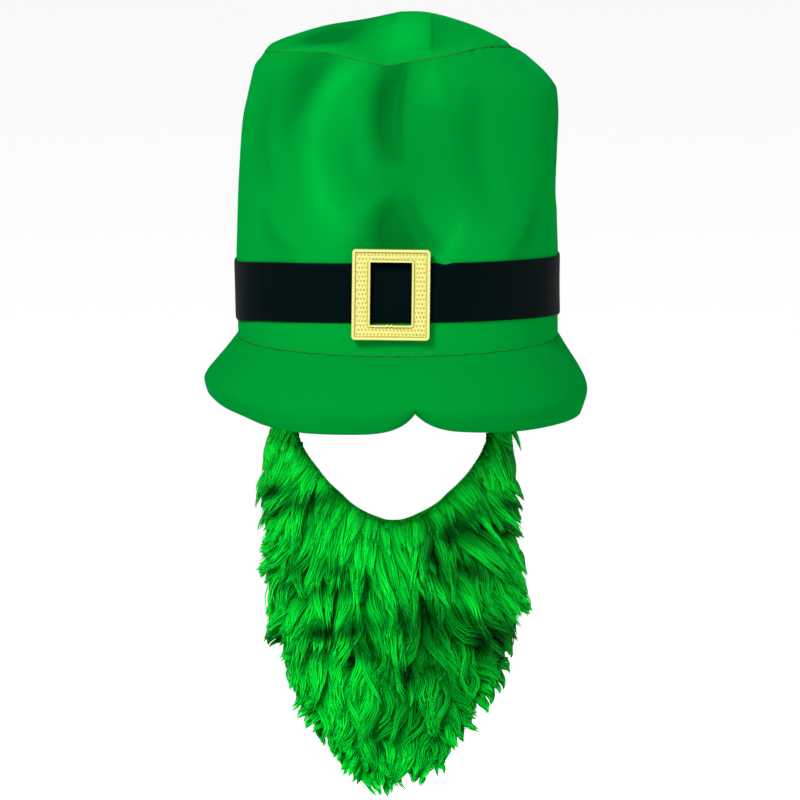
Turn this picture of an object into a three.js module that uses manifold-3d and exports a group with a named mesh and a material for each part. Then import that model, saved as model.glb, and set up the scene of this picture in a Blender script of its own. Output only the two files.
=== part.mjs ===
// A leprechaun costume hat: a soft stovepipe crown with a sewn-in tip, a drooping brim, a black ribbon
// band, a gold plastic buckle, and a long shaggy beard that hangs from inside the crown.
// Millimetres, +Z up. The front, with the buckle, faces -Y, and +X is on the viewer's right.
// The origin is the middle of the head opening, level with the brim seam at the hat's sides.
import * as THREE from "three";
import { mergeVertices } from "three/addons/utils/BufferGeometryUtils.js";
import Module from "manifold-3d";

const wasm = await Module();
wasm.setup();

// Driving dimensions
const CROWN_WIDTH = 211; // outside, left to right, at the brim seam
const CROWN_DEPTH = 186; // outside, front to back, at the brim seam
const CROWN_HEIGHT = 188.5; // brim seam to tip seam, at the sides
const CROWN_SQUARENESS = 2.2; // exponent of the cross-section: 2 is an ellipse, more is boxier
const CLOTH_WALL = 2; // crown cloth with its backing
const FOLD_DEPTH = 9; // deepest slump in the crown wall
const SEAM_TILT = 6; // how far the brim seam drops at the front and rises at the back
const TIP_RISE = 21; // height of the domed tip over its seam
const TIP_FULLNESS = 1.9; // exponent of the dome: 2 is a parabola, more is flatter in the middle
const TIP_FOLD_DEPTH = 5; // hollow and pleat in the tip
const BRIM_REACH = 22; // how far the brim stands out from the crown
const BRIM_DROP = 50; // how far the brim hangs below its seam
const BRIM_THICKNESS = 2.6; // two layers of cloth and the wadding between them
const NOTCH_DEPTH = 13.5; // where the two front lobes of the brim meet
const NOTCH_WIDTH = 12;
const BAND_HEIGHT = 39;
const BAND_LIFT = 16; // lower edge of the band over the origin's level, at the front
const BAND_THICKNESS = 0.8;
const BUCKLE_WIDTH = 51;
const BUCKLE_HEIGHT = 59.5;
const BUCKLE_THICKNESS = 4;
const BUCKLE_CORNER = 2.4;
const BUCKLE_LEVEL = 34.5; // middle of the buckle over the origin's level
const BUCKLE_SHIFT = -4.6; // the buckle sits a little to the viewer's left
const BUCKLE_LEAN = 0.7; // degrees to the viewer's right
const OPENING_WIDTH = 27;
const OPENING_HEIGHT = 41;
const OPENING_RAISE = 0.7; // the buckle's opening is a little above its middle
const OUTER_RIM = 2;
const INNER_RIM = 1.5;
const RIM_STEP = 1.2; // height of the rims over the patterned panel
const EDGE_EASE = 0.5; // bevel of the moulded edges
const FACE_GAP_RADIUS = 60;
const FACE_GAP_LEVEL = -55.4; // middle of the face gap, below the origin's level
const FACE_GAP_SHIFT = -3.3;
const BEARD_LENGTH = 228; // middle of the face gap to the longest tips
const BEARD_TUCK = 8; // how far the beard's lower end swings back under its hold
const BEARD_WRAP = 0.94; // share of the crown's half width past which the beard's curve runs straight out
const STRAP_TOP = 12; // the beard's sewn ends inside the crown, over the origin's level
const BACKING_WALL = 2; // knitted backing of the fur cloth
const PILE_DEPTH = 13; // body of the fur, without the raised locks
const LOCK_LENGTH = 38;
const LOCK_WIDTH = 13;
const LOCK_THICKNESS = 7;
const LOCK_SPACING = 22;
const LOCK_SUNK = 0.45; // share of a lock's thickness that its root is sunk into the pile
const LOCK_UNEVENNESS = 0.2; // how far the locks' lengths differ from the usual, as a share
const LOCK_LIFT = 7; // how far a lock's tip stands off the pile
const LOCK_FAN = 3; // degrees that the locks lean outwards at the sides
const LOCK_STRAY = 22; // degrees over which the locks' directions vary
const LOCK_CURL = 36; // degrees over which their bends vary
const GAP = 0.3; // clearance between pieces that touch

const HALF_WIDTH = CROWN_WIDTH / 2;
const HALF_DEPTH = CROWN_DEPTH / 2;
const DEGREE = Math.PI / 180;
const SAME_POINT = 0.001; // corners nearer than this are one

// Crown sections from the brim seam (at 0) to the tip seam (at 1), as shares of the half width or half depth
const CROWN_SECTIONS = [
  { at: 0.0, left: 1.0, right: 1.0, front: 1.0, back: 1.0 },
  { at: 0.22, left: 1.01, right: 1.0, front: 1.0, back: 1.01 },
  { at: 0.45, left: 1.006, right: 0.998, front: 0.98, back: 1.01 },
  { at: 0.65, left: 0.988, right: 1.004, front: 0.955, back: 0.995 },
  { at: 0.76, left: 0.974, right: 1.01, front: 0.935, back: 0.98 },
  { at: 0.85, left: 0.942, right: 0.998, front: 0.91, back: 0.96 },
  { at: 0.9, left: 0.921, right: 0.943, front: 0.89, back: 0.935 },
  { at: 0.95, left: 0.897, right: 0.85, front: 0.86, back: 0.89 },
  { at: 0.98, left: 0.856, right: 0.78, front: 0.825, back: 0.835 },
  { at: 1.0, left: 0.831, right: 0.706, front: 0.8, back: 0.79 },
];

// Slumps (positive depth, as a share of the fold depth) and ridges (negative) of the crown wall. A fold
// runs between two heights, given as shares of the crown's, turned to angles in degrees from the front, with
// a spread in degrees to each side. The last two keep the wall flat beside the buckle.
const CROWN_FOLDS = [
  { name: "centre", low: 0.18, high: 1.12, lowTurn: -2, highTurn: 3, left: 13, right: 17, depth: 0.8 },
  { name: "left ridge", low: 0.2, high: 1.1, lowTurn: -20, highTurn: -19, left: 12, right: 10, depth: -0.35 },
  { name: "left", low: 0.35, high: 1.1, lowTurn: -47, highTurn: -38, left: 14, right: 10, depth: 0.45 },
  { name: "right ridge", low: 0.1, high: 0.75, lowTurn: 30, highTurn: 26, left: 10, right: 14, depth: -0.25 },
  { name: "right", low: 0.5, high: 1.1, lowTurn: 44, highTurn: 36, left: 10, right: 14, depth: 0.3 },
  { name: "back left", low: 0.3, high: 1.1, lowTurn: -152, highTurn: -140, left: 16, right: 20, depth: 0.6 },
  { name: "back ridge", low: 0.25, high: 1.0, lowTurn: 178, highTurn: 184, left: 16, right: 14, depth: -0.3 },
  { name: "back right", low: 0.35, high: 1.15, lowTurn: 140, highTurn: 150, left: 16, right: 18, depth: 0.7 },
  { name: "buckle left", low: -0.1, high: 0.5, lowTurn: -17, highTurn: -17, left: 9, right: 9, depth: -0.13 },
  { name: "buckle right", low: -0.1, high: 0.5, lowTurn: 12, highTurn: 12, left: 9, right: 9, depth: -0.13 },
];
const FOLD_SPLAY = 1.5; // how much wider a fold is at its low end than at its high one

// Height of the tip seam round the crown, as a share of the crown height, with angles from the front
const TIP_SEAM = [
  { angle: -90, height: 0.99 },
  { angle: -38, height: 1.014 },
  { angle: -16, height: 0.993 },
  { angle: -8, height: 0.995 },
  { angle: 4, height: 1.01 },
  { angle: 24, height: 1.014 },
  { angle: 50, height: 1.022 },
  { angle: 90, height: 1.005 },
  { angle: 140, height: 1.0 },
  { angle: 180, height: 1.01 },
  { angle: 225, height: 0.985 },
];

// Hollows (positive depth) and swells (negative) of the tip: middle and spread as shares of the crown's half
// width and half depth
const TIP_FOLDS = [
  { name: "front left hollow", x: -0.43, y: -0.42, spreadX: 0.2, spreadY: 0.22, depth: 0.9 },
  { name: "middle hollow", x: -0.2, y: 0.15, spreadX: 0.22, spreadY: 0.45, depth: 0.5 },
  { name: "front ridge", x: 0.02, y: -0.45, spreadX: 0.17, spreadY: 0.4, depth: -0.45 },
  { name: "peak", x: 0.2, y: 0.1, spreadX: 0.24, spreadY: 0.24, depth: -0.35 },
  { name: "back hollow", x: -0.1, y: 0.5, spreadX: 0.3, spreadY: 0.2, depth: 0.5 },
];
const PLEAT_AT = 0.205; // line of the tip's pleat, as a share of the half width
const PLEAT_SPREAD = 0.12;
const PLEAT_BACK = 0.15; // how far behind the middle the pleat ends, as a share of the half depth
const PLEAT_SHARE = 0.55; // of the tip's fold depth
const TIP_SEAM_HOLD = 0.2; // share of the way in from the seam over which the seam holds the folds flat

// The brim's hang round the hat, with angles from the front: shares of its reach and its drop
const BRIM_HANG = [
  { angle: -90, reach: 1.02, drop: 0.79 },
  { angle: -70, reach: 1.02, drop: 0.805 },
  { angle: -58, reach: 1.0, drop: 0.85 },
  { angle: -45, reach: 1.0, drop: 0.95 },
  { angle: -30, reach: 1.0, drop: 0.985 },
  { angle: -10, reach: 0.96, drop: 0.985 },
  { angle: 6, reach: 0.9, drop: 0.975 },
  { angle: 22, reach: 0.96, drop: 0.985 },
  { angle: 40, reach: 0.99, drop: 0.995 },
  { angle: 70, reach: 0.9, drop: 0.985 },
  { angle: 90, reach: 0.83, drop: 1.0 },
  { angle: 120, reach: 1.05, drop: 0.96 },
  { angle: 150, reach: 0.9, drop: 1.1 },
  { angle: 180, reach: 1.1, drop: 1.02 },
  { angle: 210, reach: 0.9, drop: 1.08 },
  { angle: 240, reach: 1.1, drop: 0.92 },
];
const NOTCH_ANGLE = 6;
const NOTCH_PINCH = 0.35; // how far the notch is pulled in, as a share of its depth
const NOTCH_FADE = 4; // power of the way down by which the notch fades above the edge

// The brim from its seam to its edge: shares of the drop and of the reach
const BRIM_PROFILE = [
  { down: 0.0, out: 0.0 },
  { down: 0.25, out: 0.37 },
  { down: 0.5, out: 0.74 },
  { down: 0.64, out: 0.92 },
  { down: 0.76, out: 1.0 },
  { down: 0.88, out: 0.96 },
  { down: 1.0, out: 0.87 },
];

// Lower edge of the band round the crown, as a share of its lift, with angles from the front
const BAND_EDGE = [
  { angle: -90, lift: 0.62 },
  { angle: -45, lift: 0.9 },
  { angle: 0, lift: 1.0 },
  { angle: 45, lift: 0.98 },
  { angle: 90, lift: 0.87 },
  { angle: 180, lift: 0.95 },
];

// The fur cloth round the face gap. Angles are from straight down, to the viewer's left if negative.
// Inner is a share of the gap's radius, outer a share of the beard's length.
const BEARD_BARS = [
  { angle: -90, inner: 1.05, outer: 0.33 },
  { angle: -77, inner: 0.99, outer: 0.345 },
  { angle: -62, inner: 0.92, outer: 0.375 },
  { angle: -50, inner: 0.9, outer: 0.43 },
  { angle: -40, inner: 0.89, outer: 0.535 },
  { angle: -31, inner: 0.91, outer: 0.63 },
  { angle: -24, inner: 0.925, outer: 0.71 },
  { angle: -17, inner: 0.94, outer: 0.8 },
  { angle: -10, inner: 0.955, outer: 0.885 },
  { angle: -3, inner: 0.975, outer: 0.94 },
  { angle: 4, inner: 0.975, outer: 0.935 },
  { angle: 11, inner: 0.96, outer: 0.875 },
  { angle: 18, inner: 0.94, outer: 0.8 },
  { angle: 25, inner: 0.93, outer: 0.73 },
  { angle: 33, inner: 0.92, outer: 0.635 },
  { angle: 41, inner: 0.905, outer: 0.53 },
  { angle: 50, inner: 0.915, outer: 0.44 },
  { angle: 62, inner: 0.945, outer: 0.385 },
  { angle: 77, inner: 1.0, outer: 0.34 },
  { angle: 90, inner: 1.05, outer: 0.325 },
];

// The two straps from the face gap up to the sewn ends: share of the way up, and distances from the middle as
// shares of those of the bar at 90 degrees
const STRAP_BARS = [
  { up: 1.0, inner: 1.04, outer: 0.98 },
  { up: 0.82, inner: 1.04, outer: 0.98 },
  { up: 0.55, inner: 1.03, outer: 0.99 },
  { up: 0.28, inner: 1.02, outer: 1.0 },
];
const SIDE_PILE = 0.55; // depth of the pile beside the face, as a share of that under the chin

// Depth of the pile from the gap's edge to the beard's outer edge, as a share of the full depth
const PILE_PROFILE = [
  { across: 0.0, depth: 0.05 },
  { across: 0.14, depth: 0.42 },
  { across: 0.38, depth: 0.9 },
  { across: 0.68, depth: 1.0 },
  { across: 0.9, depth: 0.75 },
  { across: 1.0, depth: 0.4 },
];

// Rows of raised locks across the fur cloth: lengths and spacing as shares of the lock's own
const LOCK_TIERS = [
  { across: 0.2, size: 0.65, spacing: 1.1 },
  { across: 0.45, size: 0.95, spacing: 1.1 },
  { across: 0.7, size: 1.0, spacing: 1.0 },
  { across: 0.9, size: 0.85, spacing: 0.7 },
];

const COLUMNS = 56;
const NOTCH_COLUMNS = [-3.6, -1.6, 1.6, 3.6]; // extra columns beside the notch, in degrees
const WALL_ROWS = [0.13, 0.3, 0.48, 0.64, 0.77, 0.86, 0.93, 0.97, 1.0]; // shares of the way from band to tip
const TIP_RINGS = [1.0, 0.9, 0.76, 0.58, 0.38, 0.18];
const CORNER_STEPS = 4; // faces round a corner of the buckle
const LOCK_SIDES = 5;
const LOCK_RINGS = [
  { along: 0.0, width: 0.8 },
  { along: 0.4, width: 1.0 },
  { along: 0.75, width: 0.62 },
];

const clamp = THREE.MathUtils.clamp;
const lerp = THREE.MathUtils.lerp;

// One column of a table at a place along its key, by cubic pieces that never overshoot a row's value.
function along(table, key, column, place) {
  const last = table.length - 1;
  const k = clamp(table.findIndex((row) => row[key] > place) - 1, 0, last - 1);
  const i = place >= table[last][key] ? last - 1 : k;
  const slope = (a, b) => (table[b][column] - table[a][column]) / (table[b][key] - table[a][key]);
  const tangent = (j) => {
    const before = slope(j - 1, j);
    const after = slope(j, j + 1);
    return before * after <= 0 ? 0 : (2 * before * after) / (before + after);
  };
  const span = table[i + 1][key] - table[i][key];
  const t = clamp((place - table[i][key]) / span, 0, 1);
  const start = i === 0 ? slope(0, 1) : tangent(i);
  const end = i + 1 === last ? slope(last - 1, last) : tangent(i + 1);
  return (
    (1 + 2 * t) * (1 - t) ** 2 * table[i][column] +
    t * (1 - t) ** 2 * span * start +
    t * t * (3 - 2 * t) * table[i + 1][column] +
    t * t * (t - 1) * span * end
  );
}

// The same for a table of angles that goes once round the hat.
function round(table, column, angle) {
  const first = table[0].angle;
  const turned = first + THREE.MathUtils.euclideanModulo(angle - first, 360);
  const before = table.slice(-2).map((row) => ({ ...row, angle: row.angle - 360 }));
  const after = table.slice(0, 2).map((row) => ({ ...row, angle: row.angle + 360 }));
  return along([...before, ...table, ...after], "angle", column, turned);
}

function bell(distance, spread) {
  return Math.exp(-((distance / spread) ** 2));
}

// How far one fold pushes the wall in, at an angle in degrees and a share of the crown's height.
function foldDepth(fold, angle, height) {
  const up = (height - fold.low) / (fold.high - fold.low);
  if (up <= 0 || up >= 1) return 0;
  const middle = lerp(fold.lowTurn, fold.highTurn, up);
  const away = THREE.MathUtils.euclideanModulo(angle - middle + 180, 360) - 180;
  const spread = lerp(FOLD_SPLAY, 1, up) * (away < 0 ? fold.left : fold.right);
  const fade = Math.sin(Math.PI * Math.min(up, 0.5)) ** 1.5;
  const closing = up < 0.5 ? 1 : Math.cos(Math.PI * (up - 0.5)) ** 0.5;
  return FOLD_DEPTH * fold.depth * bell(away, spread) * fade * closing;
}

function seamLevel(angle) {
  return -SEAM_TILT * Math.cos(angle * DEGREE);
}

function tipLevel(angle) {
  return CROWN_HEIGHT * round(TIP_SEAM, "height", angle);
}

// Distance from the axis to the crown's outside at an angle, for a share of the crown's height.
function crownRadius(angle, height) {
  const sine = Math.sin(angle * DEGREE);
  const cosine = Math.cos(angle * DEGREE);
  const width = HALF_WIDTH * along(CROWN_SECTIONS, "at", sine < 0 ? "left" : "right", height);
  const depth = HALF_DEPTH * along(CROWN_SECTIONS, "at", cosine < 0 ? "back" : "front", height);
  const sum = Math.abs(sine / width) ** CROWN_SQUARENESS + Math.abs(cosine / depth) ** CROWN_SQUARENESS;
  const folds = CROWN_FOLDS.reduce((all, fold) => all + foldDepth(fold, angle, height), 0);
  return sum ** (-1 / CROWN_SQUARENESS) - folds;
}

function polar(angle, radius, level) {
  return new THREE.Vector3(radius * Math.sin(angle * DEGREE), -radius * Math.cos(angle * DEGREE), level);
}

function crownPoint(angle, height) {
  return polar(angle, crownRadius(angle, height), lerp(seamLevel(angle), tipLevel(angle), height));
}

// A point moved off a surface along its outward normal, worked out from the surface's own small steps.
function offset(surface, angle, place, distance) {
  const turn = 0.5; // degrees
  const step = 0.004; // share of the surface's height
  const low = Math.max(place - step, 0);
  const high = Math.min(place + step, 1);
  const acrossStep = surface(angle + turn, place).sub(surface(angle - turn, place));
  const upStep = surface(angle, high).sub(surface(angle, low));
  const normal = acrossStep.cross(upStep).normalize();
  return surface(angle, place).addScaledVector(normal, distance);
}

// Two triangles between each pair of neighbours of two rows of points, facing along (next point) x
// (next row), or the other way for the far side of a wall, with the same diagonals so that both sides
// stay parallel.
function stitch(triangles, lower, upper, closed, farSide = false) {
  const count = lower.length;
  for (let i = 0; i < (closed ? count : count - 1); i += 1) {
    const next = (i + 1) % count;
    const corners = [lower[i], lower[next], upper[next], upper[i]];
    for (const face of [[corners[0], corners[1], corners[2]], [corners[0], corners[2], corners[3]]]) {
      const [a, b, c] = farSide ? face.reverse() : face;
      const shortest = Math.min(a.distanceTo(b), b.distanceTo(c), c.distanceTo(a));
      if (shortest > SAME_POINT) triangles.push(a, b, c);
    }
  }
}

function solidGeometry(triangles) {
  return new THREE.BufferGeometry().setFromPoints(triangles);
}

// A closed wall between an outer and an inner grid of rings, joined along their first and last rings.
function ringWall(outer, inner) {
  const triangles = [];
  const last = outer.length - 1;
  for (let row = 0; row < last; row += 1) {
    stitch(triangles, outer[row], outer[row + 1], true);
    stitch(triangles, inner[row], inner[row + 1], true, true);
  }
  stitch(triangles, inner[0], outer[0], true);
  stitch(triangles, outer[last], inner[last], true);
  return solidGeometry(triangles);
}

function columnAngles() {
  const even = Array.from({ length: COLUMNS }, (_, i) => NOTCH_ANGLE + (360 / COLUMNS) * i);
  return [...even, ...NOTCH_COLUMNS.map((beside) => NOTCH_ANGLE + beside)].sort((a, b) => a - b);
}
const ANGLES = columnAngles();

// The band's edges at an angle, as shares of the crown's height there.
function bandHeights(angle) {
  const low = BAND_LIFT * round(BAND_EDGE, "lift", angle);
  const share = (level) => (level - seamLevel(angle)) / (tipLevel(angle) - seamLevel(angle));
  return [share(low), share(low + BAND_HEIGHT)];
}

function crownWall() {
  const heights = (angle) => {
    const [low, high] = bandHeights(angle);
    return [0, low, high, ...WALL_ROWS.map((share) => lerp(high, 1, share))];
  };
  const rows = heights(0).map((_, row) => row);
  const outer = rows.map((row) => ANGLES.map((angle) => crownPoint(angle, heights(angle)[row])));
  const lined = (angle, row) => offset(crownPoint, angle, heights(angle)[row], -CLOTH_WALL);
  const inner = rows.map((row) => ANGLES.map((angle) => lined(angle, row)));
  return ringWall(outer, inner);
}

// The ribbon lies on the wall's own facets, because both use the same columns and edges.
function hatBand() {
  const raised = (angle, edge, lift) => offset(crownPoint, angle, bandHeights(angle)[edge], lift);
  const ring = (edge, lift) => ANGLES.map((angle) => raised(angle, edge, lift));
  const outer = [0, 1].map((edge) => ring(edge, GAP + BAND_THICKNESS));
  const inner = [0, 1].map((edge) => ring(edge, GAP));
  return ringWall(outer, inner);
}

// Height of the tip's top over the tip seam, at a share of the way from the middle to the rim.
function tipHeight(x, y, share) {
  const dome = TIP_RISE * (1 - share ** TIP_FULLNESS);
  const folds = TIP_FOLDS.reduce((all, fold) => {
    const across = (x / HALF_WIDTH - fold.x) / fold.spreadX;
    const back = (y / HALF_DEPTH - fold.y) / fold.spreadY;
    return all + fold.depth * bell(Math.hypot(across, back), 1);
  }, 0);
  const past = x / HALF_WIDTH - PLEAT_AT;
  const frontwards = Math.sqrt(clamp(PLEAT_BACK - y / HALF_DEPTH, 0, 1));
  const pleat = past > 0 ? PLEAT_SHARE * Math.exp(-past / PLEAT_SPREAD) * frontwards : 0;
  const held = Math.min(1, (1 - share) / TIP_SEAM_HOLD);
  return Math.max(0, dome - TIP_FOLD_DEPTH * (folds + pleat) * held);
}

function tipPoint(angle, share, lift) {
  const point = polar(angle, crownRadius(angle, 1) * share, 0);
  const seam = lerp(CROWN_HEIGHT, tipLevel(angle), share);
  point.z = seam + GAP + lift + tipHeight(point.x, point.y, share);
  return point;
}

function crownTip() {
  const surface = (lift) => [
    ...TIP_RINGS.map((share) => ANGLES.map((angle) => tipPoint(angle, share, lift))),
    ANGLES.map(() => tipPoint(0, 0, lift)),
  ];
  const top = surface(CLOTH_WALL);
  const under = surface(0);
  const triangles = [];
  for (let ring = 0; ring < TIP_RINGS.length; ring += 1) {
    stitch(triangles, top[ring], top[ring + 1], true);
    stitch(triangles, under[ring], under[ring + 1], true, true);
  }
  stitch(triangles, under[0], top[0], true);
  return solidGeometry(triangles);
}

// How much the notch shortens the brim at an angle: a cusp between the two front lobes.
function notch(angle) {
  const away = THREE.MathUtils.euclideanModulo(angle - NOTCH_ANGLE + 180, 360) - 180;
  const arc = Math.abs(away) * DEGREE * (HALF_DEPTH + BRIM_REACH);
  return NOTCH_DEPTH * Math.exp(-arc / NOTCH_WIDTH);
}

// The brim's upper face, from its edge (place 0) to its seam (place 1).
function brimPoint(angle, place) {
  const down = 1 - place;
  const reach = BRIM_REACH * round(BRIM_HANG, "reach", angle) * along(BRIM_PROFILE, "down", "out", down);
  const cusp = notch(angle) * down ** NOTCH_FADE;
  const drop = BRIM_DROP * round(BRIM_HANG, "drop", angle) * down - cusp;
  return polar(angle, crownRadius(angle, 0) + reach - NOTCH_PINCH * cusp, seamLevel(angle) - GAP - drop);
}

function brim() {
  const places = BRIM_PROFILE.map((row) => 1 - row.down).reverse();
  const outer = places.map((place) => ANGLES.map((angle) => brimPoint(angle, place)));
  const lined = (angle, place) => offset(brimPoint, angle, place, -BRIM_THICKNESS);
  const inner = places.map((place) => ANGLES.map((angle) => lined(angle, place)));
  return ringWall(outer, inner);
}

// A rectangle with round corners, anticlockwise as seen from the front, in the buckle's own plane.
function roundedLoop(width, height, corner, raise, depth) {
  const radius = Math.max(corner, EDGE_EASE / 2);
  const points = [];
  for (const [turn, sideX, sideZ] of [[270, 1, -1], [0, 1, 1], [90, -1, 1], [180, -1, -1]]) {
    for (let step = 0; step <= CORNER_STEPS; step += 1) {
      const bearing = (turn + (90 * step) / CORNER_STEPS) * DEGREE;
      const x = sideX * (width / 2 - radius) + radius * Math.cos(bearing);
      const z = sideZ * (height / 2 - radius) + radius * Math.sin(bearing) + raise;
      points.push(new THREE.Vector3(x, -depth, z));
    }
  }
  return points;
}

// A moulded frame: its section goes from the outer back edge over the two rims to the opening and back.
function buckle() {
  const outerLoop = (inset, depth) =>
    roundedLoop(BUCKLE_WIDTH - 2 * inset, BUCKLE_HEIGHT - 2 * inset, BUCKLE_CORNER - inset, 0, depth);
  const openingLoop = (inset, depth) =>
    roundedLoop(OPENING_WIDTH + 2 * inset, OPENING_HEIGHT + 2 * inset, inset, OPENING_RAISE, depth);
  const panel = BUCKLE_THICKNESS - RIM_STEP;
  const section = [
    outerLoop(0, 0),
    outerLoop(0, BUCKLE_THICKNESS - EDGE_EASE),
    outerLoop(EDGE_EASE, BUCKLE_THICKNESS),
    outerLoop(OUTER_RIM, BUCKLE_THICKNESS),
    outerLoop(OUTER_RIM + EDGE_EASE, panel),
    openingLoop(INNER_RIM + EDGE_EASE, panel),
    openingLoop(INNER_RIM, BUCKLE_THICKNESS),
    openingLoop(EDGE_EASE, BUCKLE_THICKNESS),
    openingLoop(0, BUCKLE_THICKNESS - EDGE_EASE),
    openingLoop(0, 0),
  ];
  const triangles = [];
  section.forEach((loop, i) => stitch(triangles, loop, section[(i + 1) % section.length], true));
  return solidGeometry(triangles);
}

// The buckle's back sits just clear of the band's most forward point.
function buckleFront() {
  const forward = ANGLES.flatMap((angle) =>
    bandHeights(angle).map((height) => -offset(crownPoint, angle, height, GAP + BAND_THICKNESS).y),
  );
  return Math.max(...forward) + GAP;
}

// The beard hangs on the curve of the crown's inside, so that its straps meet the wall where they are sewn.
// A point is placed by x, level and its distance in front of that curve.
function beardPoint(x, level, forward) {
  const inset = Math.max(CLOTH_WALL, BRIM_THICKNESS) + GAP + BACKING_WALL;
  const width = HALF_WIDTH - inset;
  const depth = HALF_DEPTH - inset;
  const share = clamp(Math.abs(x) / width, 0, BEARD_WRAP);
  const front = depth * (1 - share ** CROWN_SQUARENESS) ** (1 / CROWN_SQUARENESS);
  const hang = clamp((FACE_GAP_LEVEL - level) / BEARD_LENGTH, 0, 1);
  const power = CROWN_SQUARENESS - 1;
  const normal = new THREE.Vector2(share ** power / width, (front / depth) ** power / depth).normalize();
  const y = BEARD_TUCK * hang ** 2 - front - forward * normal.y;
  return new THREE.Vector3(x + Math.sign(x) * forward * normal.x, y, level);
}

// The cross-bars of the fur cloth, from the left sewn end round under the face gap to the right one. Each
// has its inner and outer end in the front view, and how much of the pile's depth it carries.
function beardBars() {
  const below = BEARD_BARS.map((row) => {
    const down = new THREE.Vector2(Math.sin(row.angle * DEGREE), -Math.cos(row.angle * DEGREE));
    const middle = new THREE.Vector2(FACE_GAP_SHIFT, FACE_GAP_LEVEL);
    return {
      inner: middle.clone().addScaledVector(down, FACE_GAP_RADIUS * row.inner),
      outer: middle.clone().addScaledVector(down, BEARD_LENGTH * row.outer),
      pile: lerp(1, SIDE_PILE, Math.abs(row.angle) / 90),
    };
  });
  const strap = (bar, rows) =>
    rows.map((row) => {
      const level = lerp(FACE_GAP_LEVEL, STRAP_TOP, row.up);
      const end = (point, share) => new THREE.Vector2(lerp(FACE_GAP_SHIFT, point.x, share), level);
      const pile = SIDE_PILE * (1 - row.up) ** 3;
      return { inner: end(bar.inner, row.inner), outer: end(bar.outer, row.outer), pile };
    });
  const right = [...STRAP_BARS].reverse();
  return [...strap(below[0], STRAP_BARS), ...below, ...strap(below[below.length - 1], right)];
}

function pileDepth(across, pile) {
  return BACKING_WALL + PILE_DEPTH * pile * along(PILE_PROFILE, "across", "depth", across);
}

// The backing and the body of the pile, as one slab.
function pileSlab(bars) {
  const places = PILE_PROFILE.map((row) => row.across);
  const face = (forward) =>
    bars.map((bar) =>
      places.map((across) => {
        const point = bar.inner.clone().lerp(bar.outer, across);
        return beardPoint(point.x, point.y, forward(across, bar.pile));
      }),
    );
  const front = face((across, pile) => pileDepth(across, pile));
  const back = face(() => 0);
  const triangles = [];
  const last = bars.length - 1;
  const edge = places.length - 1;
  for (let bar = 0; bar < last; bar += 1) {
    stitch(triangles, front[bar], front[bar + 1], false);
    stitch(triangles, back[bar], back[bar + 1], false, true);
    stitch(triangles, [front[bar][0], front[bar + 1][0]], [back[bar][0], back[bar + 1][0]], false);
    const rim = (face) => [face[bar][edge], face[bar + 1][edge]];
    stitch(triangles, rim(back), rim(front), false);
  }
  stitch(triangles, back[0], front[0], false);
  stitch(triangles, front[last], back[last], false);
  return triangles;
}

// A repeatable spread of values from 0 to 1, so that the locks look uneven.
function uneven(number) {
  return THREE.MathUtils.euclideanModulo(Math.sin(number * 12.9898) * 43758.5453, 1);
}

// One tapered, curling lock of fur, rooted in the pile at a place in the front view.
function lock(root, across, pile, size, number) {
  const away = root.x - FACE_GAP_SHIFT;
  const fan = clamp(away / FACE_GAP_RADIUS, -1, 1) * LOCK_FAN * DEGREE;
  const bearing = fan + (uneven(number) - 0.5) * LOCK_STRAY * DEGREE;
  const curl = (uneven(number + 0.37) - 0.5) * LOCK_CURL * DEGREE;
  const length = LOCK_LENGTH * size * (1 + LOCK_UNEVENNESS * (2 * uneven(number + 0.71) - 1));
  const sunk = pileDepth(across, pile) - LOCK_THICKNESS * size * LOCK_SUNK;
  const centre = (share) => {
    const heading = bearing + curl * share;
    const x = root.x + Math.sin(heading) * length * share;
    const level = root.y - Math.cos(heading) * length * share;
    return { x, level, forward: Math.max(sunk, BACKING_WALL) + LOCK_LIFT * size * share, heading };
  };
  const rings = LOCK_RINGS.map((row) => {
    const at = centre(row.along);
    return Array.from({ length: LOCK_SIDES }, (_, i) => {
      const turn = (2 * Math.PI * i) / LOCK_SIDES + Math.PI / 2;
      const side = (Math.cos(turn) * LOCK_WIDTH * size * row.width) / 2;
      const thick = (Math.sin(turn) * LOCK_THICKNESS * size * row.width) / 2;
      const x = at.x + side * Math.cos(at.heading);
      return beardPoint(x, at.level + side * Math.sin(at.heading), at.forward + thick);
    });
  });
  const triangles = [];
  const end = centre(1);
  const tip = Array.from({ length: LOCK_SIDES }, () => beardPoint(end.x, end.level, end.forward));
  const start = centre(0);
  const heel = Array.from({ length: LOCK_SIDES }, () => beardPoint(start.x, start.level, start.forward));
  const loops = [heel, ...rings, tip];
  loops.slice(1).forEach((loop, i) => stitch(triangles, loops[i], loop, true));
  return triangles;
}

// Where the locks are rooted: tiers across the fur cloth, spaced evenly along each one.
function lockRoots(bars) {
  const roots = [];
  const straps = STRAP_BARS.length;
  LOCK_TIERS.forEach((tier, row) => {
    const line = bars.map((bar) => bar.inner.clone().lerp(bar.outer, tier.across));
    let due = row % 2 ? LOCK_SPACING / 2 : 0;
    for (let i = straps; i < bars.length - straps - 1; i += 1) {
      const span = line[i].distanceTo(line[i + 1]);
      for (; due < span; due += LOCK_SPACING * tier.spacing) {
        const share = due / span;
        const pile = lerp(bars[i].pile, bars[i + 1].pile, share);
        const at = line[i].clone().lerp(line[i + 1], share);
        roots.push({ at, across: tier.across, pile, size: tier.size });
      }
      due -= span;
    }
  });
  return roots;
}

function manifoldOf(triangles) {
  const merged = mergeVertices(solidGeometry(triangles), SAME_POINT);
  const solid = new wasm.Mesh({
    numProp: 3,
    vertProperties: merged.attributes.position.array,
    triVerts: new Uint32Array(merged.index.array),
  });
  return new wasm.Manifold(solid);
}

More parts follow.
